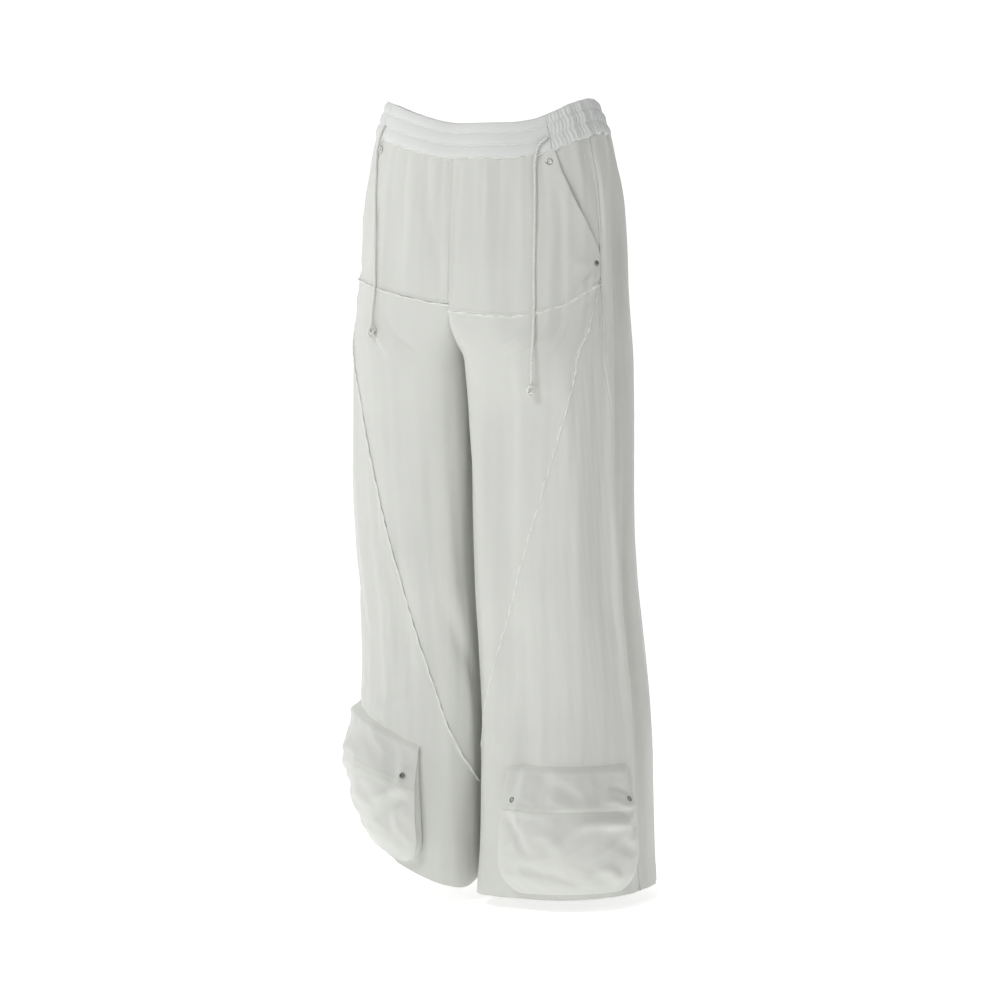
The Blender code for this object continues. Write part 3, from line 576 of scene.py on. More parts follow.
def dip(side, turn, drop):
    """How far the front and back of the waist and hip seam hang below the sides."""
    fades_out = 1.0 - smooth_step(HIP_SEAM, CROTCH, drop)
    if side < 0:
        return waist_size("right", turn) * fades_out
    at_hip = smooth_step(HIP_DIP_STARTS, HIP_SEAM, drop) * (1.0 - smooth_step(HIP_SEAM, HIP_DIP_ENDS, drop))
    return waist_size("left", turn) * fades_out + waist_size("left_hip", turn) * at_hip


def outer_share(turn):
    """1 at the outer side of a leg, 0 at its inseam."""
    return smooth_step(0.18, 0.86, turn) * (1.0 - smooth_step(1.05, 1.75, turn))


def hem_rise(side, turn, drop):
    """The hems ride up at the inseam, and the right one also at its outer side."""
    to_inseam = np.minimum(turn, 2.0 - turn)
    rise = INSEAM_RISE * (1.0 - smooth_step(0.03, 0.28, to_inseam)) * smooth_step(0.78, HEM, drop)
    if side < 0:
        rise = rise + RIGHT_HEM_LIFT * outer_share(turn) * smooth_step(LIFT_STARTS, LIFT_FULL, drop)
    return rise


def hem_tuck(side, turn, drop):
    """How far the outer side of the right leg is drawn in towards its hem."""
    if side > 0:
        return 0.0
    return RIGHT_HEM_TUCK * outer_share(turn) * smooth_step(TUCK_STARTS, TUCK_FULL, drop)


def bare_surface(side, turn, drop):
    turn = np.clip(turn, 0.0, 2.0)
    turns, points, outward, *_ = half_section(round(float(drop), 6))
    height = fold_height(side, turn, drop)
    x = np.interp(turn, turns, points[:, 0]) + height * np.interp(turn, turns, outward[:, 0])
    y = np.interp(turn, turns, points[:, 1]) + height * np.interp(turn, turns, outward[:, 1])
    x = x - hem_tuck(side, turn, drop)
    z = RIM_HEIGHT - drop - dip(side, turn, drop) + hem_rise(side, turn, drop)
    return np.column_stack((side * x + section_size("lean", drop), y, z))


def outward_normals(side, turn, drop):
    turn_step = 0.01
    drop_step = 0.003
    along = bare_surface(side, turn + turn_step, drop) - bare_surface(side, turn - turn_step, drop)
    down = bare_surface(side, turn, drop + drop_step) - bare_surface(side, turn, max(drop - drop_step, 0.0))
    normals = np.cross(down, along) * side
    return normals / np.linalg.norm(normals, axis=1)[:, None]


def cloth_points(side, turn, drop, out=0.0):
    """Points of the surface at one drop, moved out along its normals."""
    turn = np.atleast_1d(np.asarray(turn, dtype=float))
    moved = np.asarray(out, dtype=float) * np.ones_like(turn)
    return bare_surface(side, turn, drop) + outward_normals(side, turn, drop) * moved[:, None]


def line_creases(table, side, across, down):
    """Heights of soft lines: each row is a side, both ends, a half width and a height."""
    height = np.zeros(np.broadcast(across, down).shape)
    for crease_side, across_a, down_a, across_b, down_b, width, raise_by in table:
        if crease_side != side:
            continue
        run_across = across_b - across_a
        run_down = down_b - down_a
        length = math.hypot(run_across, run_down)
        along = ((across - across_a) * run_across + (down - down_a) * run_down) / length ** 2
        bow = CREASE_BOW * width * np.sin(1.7 * math.pi * along)
        away = ((across - across_a) * run_down - (down - down_a) * run_across) / length - bow
        taper = np.sin(math.pi * np.clip(along, 0.0, 1.0)) ** 0.8
        height += CREASE_GAIN * raise_by * taper * np.exp(-(away / width) ** 2)
    return height


def leg_creases(side, turn, drop):
    table = [(row[0], row[1] * TURN_LENGTH, row[2], row[3] * TURN_LENGTH, row[4], row[5], row[6])
             for row in CREASES]
    return line_creases(table, side, turn * TURN_LENGTH, drop)


def unevenness(side, turn, drop):
    """Slow waves of the cloth, calm where the fronts of the legs turn in to the crotch."""
    height = np.zeros(np.broadcast(turn, drop).shape)
    calm = (1.0 - smooth_step(0.28, 0.50, turn)) * smooth_step(0.20, 0.25, drop)
    calm = calm * (1.0 - smooth_step(0.36, 0.46, drop))
    for raise_by, turn_waves, drop_waves, phase in UNEVEN:
        angle = 2.0 * math.pi * (turn_waves * turn + drop_waves * drop) + phase + side
        height += raise_by * np.sin(angle) * np.cos(0.37 * angle + phase)
    return height * (1.0 - 0.9 * calm)


def cloth_relief(side, turn, drop):
    """The creases and waves of the cloth, without its seams."""
    return leg_creases(side, turn, drop) + unevenness(side, turn, drop)


def seam_relief(distance, run, raised=True):
    """The form of the cloth beside a seam, from the distance to it and the run along it."""
    groove = -GROOVE_DEPTH * np.exp(-(distance / GROOVE_WIDTH) ** 2)
    wavy = 0.75 + 0.25 * np.sin(run / 0.0041 + 2.0 * np.sin(run / 0.017))
    welt = WELT_HEIGHT * wavy * np.exp(-((distance - WELT_PLACE) / WELT_WIDTH) ** 2) if raised else 0.0
    uneven = 1.0 + 0.5 * np.sin(2.0 * math.pi * run / (PUCKER_LENGTH * 4.3))
    pucker = PUCKER_HEIGHT * uneven * np.sin(2.0 * math.pi * run / PUCKER_LENGTH
                                             + 1.7 * np.sin(run / 0.013))
    return groove + welt + pucker * np.exp(-distance / PUCKER_REACH)


def edge_spread(length, step):
    """Places from 0 to 1 across a width, closer together at both ends."""
    fine = np.array(EDGE_STEPS) * min(1.0, length / (2.4 * EDGE_STEPS[-1]))
    count = max(3, int(round((length - 2.0 * fine[-1]) / step)) + 1)
    middle = np.linspace(fine[-1], length - fine[-1], count)
    return np.concatenate((fine, middle[1:-1], length - fine[::-1])) / length


def row_drops(top, bottom, step):
    return top + (bottom - top) * edge_spread(bottom - top, step)


def place_piece(name, mesh, material):
    mesh.shade_smooth()
    mesh.materials.append(material)
    piece = bpy.data.objects.new(name, mesh)
    bpy.context.scene.collection.objects.link(piece)
    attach(piece, "root")
    return piece


def finish_mesh(name, shape, material):
    bmesh.ops.recalc_face_normals(shape, faces=shape.faces)
    mesh = bpy.data.meshes.new(name)
    shape.to_mesh(mesh)
    shape.free()
    return place_piece(name, mesh, material)


def make_shell(name, points, thickness, material, run_across, run_down):
    """A thin closed shell on a grid of outer points, with metres across and down as its UV."""
    rows, columns = points.shape[:2]
    across = np.gradient(points, axis=1)
    down = np.gradient(points, axis=0)
    normals = np.cross(across, down)
    normals /= np.maximum(np.linalg.norm(normals, axis=2), 1e-12)[:, :, None]
    inner = points - normals * thickness
    index = np.arange(rows * columns).reshape(rows, columns)
    total = rows * columns

    def quads(a, b, c, d):
        return np.stack((a, b, c, d), axis=-1).reshape(-1, 4)

    outer_faces = quads(index[:-1, :-1], index[1:, :-1], index[1:, 1:], index[:-1, 1:])
    inner_faces = outer_faces[:, ::-1] + total
    borders = []
    for edge in (index[0, ::-1], index[-1], index[:, 0], index[::-1, -1]):
        borders.append(quads(edge[:-1], edge[1:], edge[1:] + total, edge[:-1] + total)[:, ::-1])
    faces = np.concatenate((outer_faces, inner_faces, *borders))
    mesh = bpy.data.meshes.new(name)
    mesh.vertices.add(total * 2)
    mesh.vertices.foreach_set("co", np.concatenate((points.reshape(-1, 3), inner.reshape(-1, 3))).ravel())
    mesh.loops.add(len(faces) * 4)
    mesh.loops.foreach_set("vertex_index", faces.ravel().astype(np.int32))
    mesh.polygons.add(len(faces))
    mesh.polygons.foreach_set("loop_start", np.arange(len(faces), dtype=np.int32) * 4)
    mesh.update(calc_edges=True)
    flat = np.stack((run_across, run_down), axis=-1).reshape(-1, 2)
    uv = mesh.uv_layers.new(name="UVMap")
    uv.data.foreach_set("uv", np.concatenate((flat, flat))[faces.ravel()].ravel())
    shape = bmesh.new()
    shape.from_mesh(mesh)
    bmesh.ops.recalc_face_normals(shape, faces=shape.faces)
    shape.to_mesh(mesh)
    shape.free()
    return place_piece(name, mesh, material)


def declare_sheet(points):
    """Takes the grid of points but keeps nothing: no cut, size or area is stated."""
    columns = points.transpose(1, 0, 2)


def make_panel(name, side, drops, first_edge, last_edge, step, relief, material, node,
               out=None):
    """A cloth panel between two edges. Edges and relief are functions of the side, turn and drop."""
    widths = [(last_edge(drop) - first_edge(drop)) * front_length(drop) for drop in drops]
    share = edge_spread(max(widths), step)
    points = []
    run_across = []
    for drop, width in zip(drops, widths):
        gap = 0.5 * SEAM_GAP / front_length(drop)
        if width < 2.4 * EDGE_STEPS[-1]:
            place = np.linspace(0.0, 1.0, len(share))
        else:
            fine = len(EDGE_STEPS)
            place = share.copy()
            place[:fine] = np.array(EDGE_STEPS) / width
            place[-fine:] = 1.0 - np.array(EDGE_STEPS)[::-1] / width
            place[fine - 1:len(share) - fine + 1] = np.linspace(place[fine - 1], place[-fine],
                                                                len(share) - 2 * fine + 2)
        turn = first_edge(drop) + gap + (last_edge(drop) - first_edge(drop) - 2.0 * gap) * place
        lift = relief(side, turn, drop)
        if out:
            lift = lift + out(turn, drop)
        points.append(cloth_points(side, turn, drop, lift))
        run_across.append(turn * front_length(drop))
    points = np.array(points)
    run_down = np.repeat(np.array(drops)[:, None], points.shape[1], axis=1)
    piece = make_shell(name, points, SHELL, material, np.array(run_across), run_down)
    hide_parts(node)
    declare_sheet(points)
    return piece


def center_line(drop):
    return 0.0


def back_line(drop):
    return 2.0


def side_seam(drop):
    return float(seam_turn(SIDE_SEAM, drop))


def diagonal_seam(side):
    return lambda drop: float(seam_turn(DIAGONAL_SEAMS[side], drop))


def yoke_edge(drop):
    return float(seam_turn(POCKET_EDGE, drop)) if drop < POCKET_END else side_seam(drop)


def node_material(name, colour, roughness, sheen):
    material = bpy.data.materials.new(name)
    material.use_nodes = True
    shader = material.node_tree.nodes["Principled BSDF"]
    shader.inputs["Base Color"].default_value = (*colour, 1.0)
    shader.inputs["Roughness"].default_value = roughness
    shader.inputs["Sheen Weight"].default_value = sheen
    shader.inputs["Sheen Roughness"].default_value = SHEEN_ROUGHNESS
    return material, material.node_tree, shader


def add_node(tree, kind, **values):
    node = tree.nodes.new(kind)
    for key, value in values.items():
        if key in node.inputs:
            node.inputs[key].default_value = value
        else:
            setattr(node, key, value)
    return node


def add_noise(tree, coordinates, **values):
    noise = add_node(tree, "ShaderNodeTexNoise", **values)
    tree.links.new(coordinates.outputs["Object"], noise.inputs["Vector"])
    return noise


def add_bump(tree, height, strength, depth, before=None):
    """A bump from the height's output, on top of the bump before it."""
    bump = add_node(tree, "ShaderNodeBump", Strength=strength, Distance=depth)
    tree.links.new(height, bump.inputs["Height"])
    if before:
        tree.links.new(before.outputs["Normal"], bump.inputs["Normal"])
    return bump


def cloth_material(name, colour, weave_size, sheen, weave_strength):
    """Plain woven cloth: crossed threads with painted shade in the gaps between them, faint slubs, soft
    crumpling and slight colour changes.
    """
    material, tree, shader = node_material(name, colour, CLOTH_ROUGHNESS, sheen)
    coordinates = add_node(tree, "ShaderNodeTexCoord")
    threads = []
    for direction in ("X", "Y"):
        wave = add_node(tree, "ShaderNodeTexWave", bands_direction=direction, Scale=0.314 / weave_size)
        wave.inputs["Distortion"].default_value = 0.6
        wave.inputs["Detail"].default_value = 1.0
        wave.inputs["Detail Scale"].default_value = 0.4
        tree.links.new(coordinates.outputs["UV"], wave.inputs["Vector"])
        threads.append(wave)
    weave = add_node(tree, "ShaderNodeMix", data_type="FLOAT", blend_type="MIX")
    weave.inputs["Factor"].default_value = 0.5
    tree.links.new(threads[0].outputs["Fac"], weave.inputs["A"])
    tree.links.new(threads[1].outputs["Fac"], weave.inputs["B"])
    crumple = add_noise(tree, coordinates, Scale=CRUMPLE_SCALE, Detail=4.0, Roughness=0.55)
    slub = add_noise(tree, coordinates, Scale=SLUB_SCALE, Detail=2.0)
    fine_bump = add_bump(tree, weave.outputs["Result"], weave_strength, WEAVE_DEPTH)
    slub_bump = add_bump(tree, slub.outputs["Fac"], 0.25, SLUB_DEPTH, fine_bump)
    soft_bump = add_bump(tree, crumple.outputs["Fac"], 0.22, SOFT_DEPTH, slub_bump)
    tree.links.new(soft_bump.outputs["Normal"], shader.inputs["Normal"])
    cloud = add_noise(tree, coordinates, Scale=CLOUD_SCALE, Detail=3.0)
    ramp = add_node(tree, "ShaderNodeValToRGB")
    for element, position, shade in zip(ramp.color_ramp.elements, (0.30, 0.70), CLOUD_SHADES):
        element.position = position
        element.color = (*(min(part * shade, 1.0) for part in colour), 1.0)
    tree.links.new(cloud.outputs["Fac"], ramp.inputs["Fac"])
    # Painted shade: the colour is darkened where the weave's threads leave gaps.
    weave_gap_shade = add_node(tree, "ShaderNodeMix", data_type="RGBA", blend_type="MULTIPLY")
    weave_gap_shade.inputs["Factor"].default_value = WEAVE_SHADE
    tree.links.new(ramp.outputs["Color"], weave_gap_shade.inputs["A"])
    tree.links.new(weave.outputs["Result"], weave_gap_shade.inputs["B"])
    tree.links.new(weave_gap_shade.outputs["Result"], shader.inputs["Base Color"])
    return material


def metal_material(name, colour, roughness):
    """Worn metal, a little darker in patches."""
    material, tree, shader = node_material(name, colour, roughness, 0.0)
    shader.inputs["Metallic"].default_value = 1.0
    wear = add_noise(tree, add_node(tree, "ShaderNodeTexCoord"), Scale=700.0, Detail=3.0)
    ramp = add_node(tree, "ShaderNodeValToRGB")
    ramp.color_ramp.elements[0].color = (*(part * 0.75 for part in colour), 1.0)
    ramp.color_ramp.elements[1].color = (*colour, 1.0)
    tree.links.new(wear.outputs["Fac"], ramp.inputs["Fac"])
    tree.links.new(ramp.outputs["Color"], shader.inputs["Base Color"])
    bump = add_bump(tree, wear.outputs["Fac"], 0.2, 0.0001)
    tree.links.new(bump.outputs["Normal"], shader.inputs["Normal"])
    return material


def hem_relief(drop):
    """The turned-up hem is a little thicker, below a pressed stitching line."""
    below = drop - (HEM - HEM_FOLD)
    return 0.0005 * smooth_step(-0.001, 0.001, below) - 0.0006 * math.exp(-(below / 0.0009) ** 2)


def yoke_relief(side, turn, drop):
    length = front_length(drop)
    edge = yoke_edge(drop)
    from_edge = (edge - turn) * length
    lift = cloth_relief(side, turn, drop)
    lift = lift + 0.7 * seam_relief(HIP_SEAM - drop, turn * length)
    lift = lift + seam_relief(drop - BAND_HEIGHT, turn * length, raised=False)
    if drop < POCKET_END:
        open_share = math.sin(math.pi * (drop - BAND_HEIGHT) / (POCKET_END - BAND_HEIGHT))
        lift = lift + 0.0030 * open_share * np.exp(-(from_edge / 0.016) ** 2)
        lift = lift - 0.0005 * np.exp(-((from_edge - 0.006) / 0.0010) ** 2)
    else:
        lift = lift + seam_relief(from_edge, drop, raised=False)
    return lift


def facing_relief(side, turn, drop):
    lift = cloth_relief(side, turn, drop)
    return lift + seam_relief((side_seam(drop) - turn) * front_length(drop), drop, raised=False)


def front_leg_relief(side, turn, drop):
    length = front_length(drop)
    lift = cloth_relief(side, turn, drop)
    lift = lift + seam_relief(turn * length, drop, raised=False)
    lift = lift + 0.6 * seam_relief((diagonal_seam(side)(drop) - turn) * length, drop)
    return lift + seam_relief(drop - HIP_SEAM, turn * length)


def side_leg_relief(side, turn, drop):
    length = front_length(drop)
    lift = cloth_relief(side, turn, drop)
    lift = lift + seam_relief((turn - diagonal_seam(side)(drop)) * length, drop)
    lift = lift + seam_relief((side_seam(drop) - turn) * length, drop, raised=False)
    return lift + seam_relief(drop - HIP_SEAM, turn * length) + hem_relief(drop)


def back_leg_relief(side, turn, drop):
    length = front_length(drop)
    lift = cloth_relief(side, turn, drop)
    lift = lift + seam_relief((turn - side_seam(drop)) * length, drop)
    lift = lift + seam_relief((2.0 - turn) * length, drop, raised=False)
    lift = lift + seam_relief(drop - BAND_HEIGHT, turn * length, raised=False)
    below_band = 1.0 - smooth_step(0.0, 0.075, drop - BAND_HEIGHT)
    waves = 2.0 * math.pi * (turn - FRONT_BAND_END) / (2.0 - FRONT_BAND_END) * GATHERS_A_SIDE
    gathers = 0.0011 * below_band * np.cos(waves + 0.8 * np.sin(waves * 0.37))
    return lift + gathers + hem_relief(drop)


def make_yoke(side, word, materials):
    drops = row_drops(BAND_HEIGHT + 0.0003, HIP_SEAM - 0.0003, CLOTH_STEP)
    make_panel("yoke_cloth_" + word, side, drops, center_line, yoke_edge, CLOTH_STEP, yoke_relief,
               materials["cloth"], "front_yoke_" + word)


def make_facing(side, word, materials):
    def start(drop):
        return yoke_edge(drop) - 0.075

    def depth(turn, drop):
        from_edge = (turn - yoke_edge(drop)) * front_length(drop)
        reach = min(0.026, max((side_seam(drop) - yoke_edge(drop)) * front_length(drop), 0.0005))
        open_share = math.sin(math.pi * (drop - BAND_HEIGHT) / (POCKET_END - BAND_HEIGHT))
        dip_in = 0.0035 * max(open_share, 0.0) * np.exp(-(from_edge / 0.005) ** 2)
        return -(SHELL + 2.0 * LAYER_GAP) * (1.0 - smooth_step(0.25 * reach, reach, from_edge)) - dip_in

    drops = row_drops(BAND_HEIGHT + 0.0003, POCKET_END - 0.001, CLOTH_STEP)
    make_panel("pocket_facing_cloth_" + word, side, drops, start, side_seam, CLOTH_STEP, facing_relief,
               materials["cloth"], "pocket_facing_" + word, out=depth)


def make_legs(side, word, materials):
    drops = row_drops(HIP_SEAM + 0.0003, DIAGONAL_TIP, CLOTH_STEP)
    make_panel("front_leg_cloth_" + word, side, drops, center_line, diagonal_seam(side), CLOTH_STEP,
               front_leg_relief, materials["cloth"], "front_leg_" + word)
    drops = row_drops(HIP_SEAM + 0.0003, HEM, CLOTH_STEP)
    make_panel("side_leg_cloth_" + word, side, drops, diagonal_seam(side), side_seam, SIDE_STEP,
               side_leg_relief, materials["cloth"], "side_leg_" + word)
    drops = row_drops(BAND_HEIGHT + 0.0003, HEM, CLOTH_STEP)
    make_panel("back_leg_cloth_" + word, side, drops, side_seam, back_line, SIDE_STEP,
               back_leg_relief, materials["cloth"], "back_leg_" + word)


def make_allowance(name, rows, materials, depth=ALLOWANCE_DEPTH):
    """A strip of cloth behind a seam. Each row lists its points as a side, a turn and a drop."""
    def height(side, turn, drop):
        at = np.array([turn])
        return cloth_relief(side, at, drop) - depth

    points = np.array([[cloth_points(side, turn, drop, height(side, turn, drop))[0]
                        for side, turn, drop in row] for row in rows])
    run_across, run_down = np.meshgrid(np.linspace(0.0, 1.0, points.shape[1]) * ALLOWANCE,
                                       np.arange(len(points)) * CLOTH_STEP)
    make_shell(name, points, ALLOWANCE_SHELL, materials["cloth"], run_across, run_down)


def make_allowances(materials):
    places = np.linspace(-0.5, 0.5, 5) * ALLOWANCE
    rows = []
    for drop in np.linspace(BAND_HEIGHT, CROTCH - 0.012, 60):
        rows.append([(+1 if place > 0.0 else -1, abs(place) / front_length(drop), drop)
                     for place in places[::-1]])
    make_allowance("centre_front_allowance", rows, materials, depth=0.0001)
    for side, word in ((+1, "left"), (-1, "right")):
        rows = [[(side, diagonal_seam(side)(drop) + place / front_length(drop), drop) for place in places]
                for drop in np.linspace(HIP_SEAM - 0.004, DIAGONAL_TIP - 0.015, 150)]
        make_allowance("diagonal_allowance_" + word, rows, materials)
        rows = [[(side, turn, HIP_SEAM + place) for place in places]
                for turn in np.linspace(0.01, 0.83, 90)]
        make_allowance("hip_allowance_" + word, rows, materials)
        rows = [[(side, side_seam(drop) + place / front_length(drop), drop) for place in places]
                for drop in np.linspace(POCKET_END + 0.006, HEM - 0.01, 170)]
        make_allowance("side_allowance_" + word, rows, materials)
        rows = [[(side, turn, BAND_HEIGHT + place) for place in places]
                for turn in np.linspace(0.005, 1.995, 200)]
        make_allowance("band_allowance_" + word, rows, materials)


def channel_raise(drop):
    for top, bottom in zip(CHANNEL_LINES, CHANNEL_LINES[1:]):
        if top <= drop <= bottom:
            share = (drop - top) / (bottom - top)
            return CHANNEL_RAISE * math.sin(math.pi * share) ** 0.6, math.sin(math.pi * share)
    return 0.0, 0.0


def make_band(name, node, half_turns, gathered, materials):
    """A stretch of waistband. Half turns run from its end on the left side to the middle."""
    drops = []
    for top, bottom in zip(CHANNEL_LINES, CHANNEL_LINES[1:]):
        drops.extend(np.linspace(top, bottom, 9)[:-1])
    drops.append(BAND_HEIGHT)
    rows = []
    run_across = []
    for drop in drops:
        raised, inside = channel_raise(drop)
        halves = []
        runs = []
        for side in (+1, -1):
            turn = half_turns
            run = turn * front_length(drop)
            phase = 2.0 * math.pi * (turn - FRONT_BAND_END) / (2.0 - FRONT_BAND_END) * GATHERS_A_SIDE
            lift = raised * (1.0 + 0.15 * np.sin(run / 0.021 + side + 9.0 * drop))
            if gathered:
                shift = 0.9 * math.sin(drop * 260.0)
                broad = (0.5 - 0.5 * np.cos(phase)) * smooth_step(0.0, 0.16, turn - FRONT_BAND_END)
                fine = 0.5 + 0.5 * np.cos(2.37 * phase + shift + side + 1.3 * np.sin(0.61 * phase))
                lift = lift + GATHER_RAISE * (0.45 * broad + (0.20 + 0.5 * inside) * broad * fine ** 1.5)
                lift = lift + 0.0007 * inside * np.sin(4.1 * phase + 2.0 * shift)
            else:
                lift = lift + 0.00018 * np.sin(run / 0.0035 + 40.0 * drop) * (1.0 - inside)
            halves.append(cloth_points(side, turn, drop, lift))
            runs.append(run * side)
        if gathered:
            rows.append(np.concatenate((halves[0], halves[1][::-1][1:])))
            run_across.append(np.concatenate((runs[0], runs[1][::-1][1:])))
        else:
            rows.append(np.concatenate((halves[1][:-1], halves[0][::-1])))
            run_across.append(np.concatenate((runs[1][:-1], runs[0][::-1])))
    points = np.array(rows)
    run_down = np.repeat(np.array(drops)[:, None], points.shape[1], axis=1)
    piece = make_shell(name, points, SHELL, materials["band"], np.array(run_across), run_down)
    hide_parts(node)
    declare_sheet(points)
    return piece


def make_waistband(materials):
    gap = 0.5 * SEAM_GAP / front_length(0.0)
    front_turns = np.linspace(FRONT_BAND_END - gap, 0.0, 70)
    make_band("waistband_front_cloth", "waistband_front", front_turns, False, materials)
    back_turns = np.linspace(FRONT_BAND_END + gap, 2.0, 260)
    make_band("waistband_back_cloth", "waistband_back", back_turns, True, materials)


def pouch_half_width(share):
    past = np.clip((share - POUCH_CORNER_START) / (1.0 - POUCH_CORNER_START), 0.0, 1.0)
    return 1.0 - POUCH_CORNER_INSET * (1.0 - np.sqrt(1.0 - past * past))


def pouch_turn(across):
    return (POUCH_INNER + POUCH_OUTER) / 2.0 + across * (POUCH_OUTER - POUCH_INNER) / 2.0


def pouch_drop(share):
    return POUCH_TOP + share * (POUCH_BOTTOM - POUCH_TOP)


def pouch_height(across, share):
    share = min(max(float(share), 0.0), 1.0)
    edge = float(curve_value(POUCH_RELIEF[:, 0], POUCH_RELIEF[:, 1], share))
    middle = float(curve_value(POUCH_RELIEF[:, 0], POUCH_RELIEF[:, 2], share))
    crown = np.clip(1.0 - np.asarray(across) ** 2, 0.0, 1.0) ** 0.8
    return edge + (middle - edge) * crown


def crumpling(side, metres, down):
    """Small uneven crumples of the pouches' light cloth, in metres across and down."""
    first = np.sin(metres / 0.0093 + 2.1 * np.sin(down / 0.0160 + side) + 1.3 * side)
    second = np.sin(down / 0.0082 + 1.9 * np.sin(metres / 0.0150 - side))
    third = np.sin((metres + 0.7 * down) / 0.0054 + 1.4 * np.sin((metres - down) / 0.0110))
    ridges = 1.0 - np.abs(first * 0.6 + second * 0.4) * 1.6
    return CRUMPLE_HEIGHT * (0.65 * ridges + 0.35 * third)


def pouch_crumple(side, across, share):
    """The crumpled form that a pouch's face and flap share."""
    metres = across * POUCH_HALF_WIDTH
    down = share * (POUCH_BOTTOM - POUCH_TOP)
    height = line_creases(POUCH_CREASES + FLAP_CREASES, side, metres, down) + crumpling(side, metres, down)
    height = np.where(height < 0.0, -CRUMPLE_DEPTH * np.tanh(-height / CRUMPLE_DEPTH), height)
    edge = np.minimum(1.0 - np.abs(across), 1.0 - share) * POUCH_HALF_WIDTH
    return height * smooth_step(-0.002, 0.012, edge)


def face_lift(side, across, share):
    """Height of the pouch's crumpled face over the leg."""
    past_flap = (share - FLAP_END_SHARE) * (POUCH_BOTTOM - POUCH_TOP)
    swell = 0.0013 * (1.0 - across ** 4) * math.exp(-((past_flap - 0.004) / 0.006) ** 2) * (past_flap > 0.0)
    return pouch_height(across, share) + pouch_crumple(side, across, share) + swell


def make_pouch_face(side, word, materials):
    shares = edge_spread(POUCH_BOTTOM - POUCH_TOP, POUCH_STEP)
    across = edge_spread(2.0 * POUCH_HALF_WIDTH, POUCH_STEP) * 2.0 - 1.0
    rows = []
    for share in shares:
        lift = face_lift(side, across, share)
        turn = pouch_turn(across * pouch_half_width(share))
        rows.append(cloth_points(side, turn, pouch_drop(share), lift))
    points = np.array(rows)
    run_across, run_down = np.meshgrid(across * POUCH_HALF_WIDTH, shares * (POUCH_BOTTOM - POUCH_TOP))
    piece = make_shell("pouch_face_cloth_" + word, points, SHELL, materials["pouch"],
                       run_across, run_down)
    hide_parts("pouch_face_" + word)
    declare_sheet(points)


def make_pouch_gusset(side, word, materials):
    shares = np.linspace(0.0, 1.0, 56)
    down = [(-float(pouch_half_width(share)), share) for share in shares]
    bottom_half = float(pouch_half_width(1.0))
    bottom = [(across, 1.0) for across in np.linspace(-bottom_half, bottom_half, 40)[1:-1]]
    up = [(-across, share) for across, share in reversed(down)]
    path = down + bottom + up
    points = []
    heights = np.linspace(0.0, 1.0, 9)
    for height_share in heights:
        row = []
        for count, (across, share) in enumerate(path):
            rim = np.sign(across) if share < 1.0 else across / bottom_half
            top = float(pouch_height(rim, share)) - SHELL - LAYER_GAP
            lift = POUCH_BASE_GAP + (top - POUCH_BASE_GAP) * height_share
            tuck = 0.010 * math.sin(math.pi * height_share) * (1.0 + 0.5 * math.sin(count * 0.55))
            row.append(cloth_points(side, float(pouch_turn(across * (1.0 - tuck))),
                                    pouch_drop(share) - 0.06 * tuck * (share == 1.0), lift)[0])
        points.append(row)
    points = np.array(points)[:, ::-1]
    run = np.linspace(0.0, 0.46, points.shape[1])
    run_across, run_down = np.meshgrid(run, heights * 0.02)
    piece = make_shell("pouch_gusset_cloth_" + word, points, SHELL, materials["pouch"],
                       run_across, run_down)
    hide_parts("pouch_gusset_" + word)
    declare_sheet(points)


def flap_lift(side, across, share):
    from_end = (share - FLAP_END_SHARE) * (POUCH_BOTTOM - POUCH_TOP)
    hem = 0.0004 * smooth_step(-0.006, -0.0045, from_end)
    return pouch_height(across, share) + pouch_crumple(side, across, share) + LAYER_GAP + SHELL + hem


def make_pouch_flap(side, word, materials):
    across = edge_spread(2.0 * POUCH_HALF_WIDTH, POUCH_STEP) * 2.0 - 1.0
    rows = []
    downs = []
    for root_share in np.linspace(0.0, 1.0, 7)[:-1]:
        rise = smooth_step(0.0, 1.0, root_share ** 0.8)
        drop = POUCH_TOP - FLAP_ROOT * (1.0 - root_share)
        low = side_leg_relief(side, pouch_turn(across), drop) - LAYER_GAP
        lift = low + rise * (flap_lift(side, across, 0.0) - low)
        rows.append(cloth_points(side, pouch_turn(across), drop, lift))
        downs.append(-FLAP_ROOT * (1.0 - root_share))
    end = FLAP_END_SHARE * (POUCH_BOTTOM - POUCH_TOP)
    for down in np.concatenate((np.linspace(0.0, end - 0.006, 18), end - np.array(EDGE_STEPS[:6])[::-1])):
        share = down / (POUCH_BOTTOM - POUCH_TOP)
        lift = flap_lift(side, across, share)
        rows.append(cloth_points(side, pouch_turn(across), pouch_drop(share), lift))
        downs.append(down)
    points = np.array(rows)
    run_across, run_down = np.meshgrid(across * POUCH_HALF_WIDTH, np.array(downs))
    piece = make_shell("pouch_flap_cloth_" + word, points, SHELL, materials["pouch"],
                       run_across, run_down)
    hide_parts("pouch_flap_" + word)
    declare_sheet(points)


def turned(name, profile, place, normal, material, node=None):
    """A round piece from a profile of radius and height, standing on the cloth."""
    shape = bmesh.new()
    rings = []
    for radius, height in profile:
        angles = [2.0 * math.pi * step / METAL_SEGMENTS for step in range(METAL_SEGMENTS)]
        rings.append([shape.verts.new((radius * math.cos(angle), radius * math.sin(angle), height))
                      for angle in angles])
    join_rings(shape, rings)
    turn_to = Vector((0.0, 0.0, 1.0)).rotation_difference(normal).to_matrix().to_4x4()
    bmesh.ops.transform(shape, matrix=Matrix.Translation(place) @ turn_to, verts=shape.verts)
    piece = finish_mesh(name, shape, material)
    if node:
        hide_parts(node)


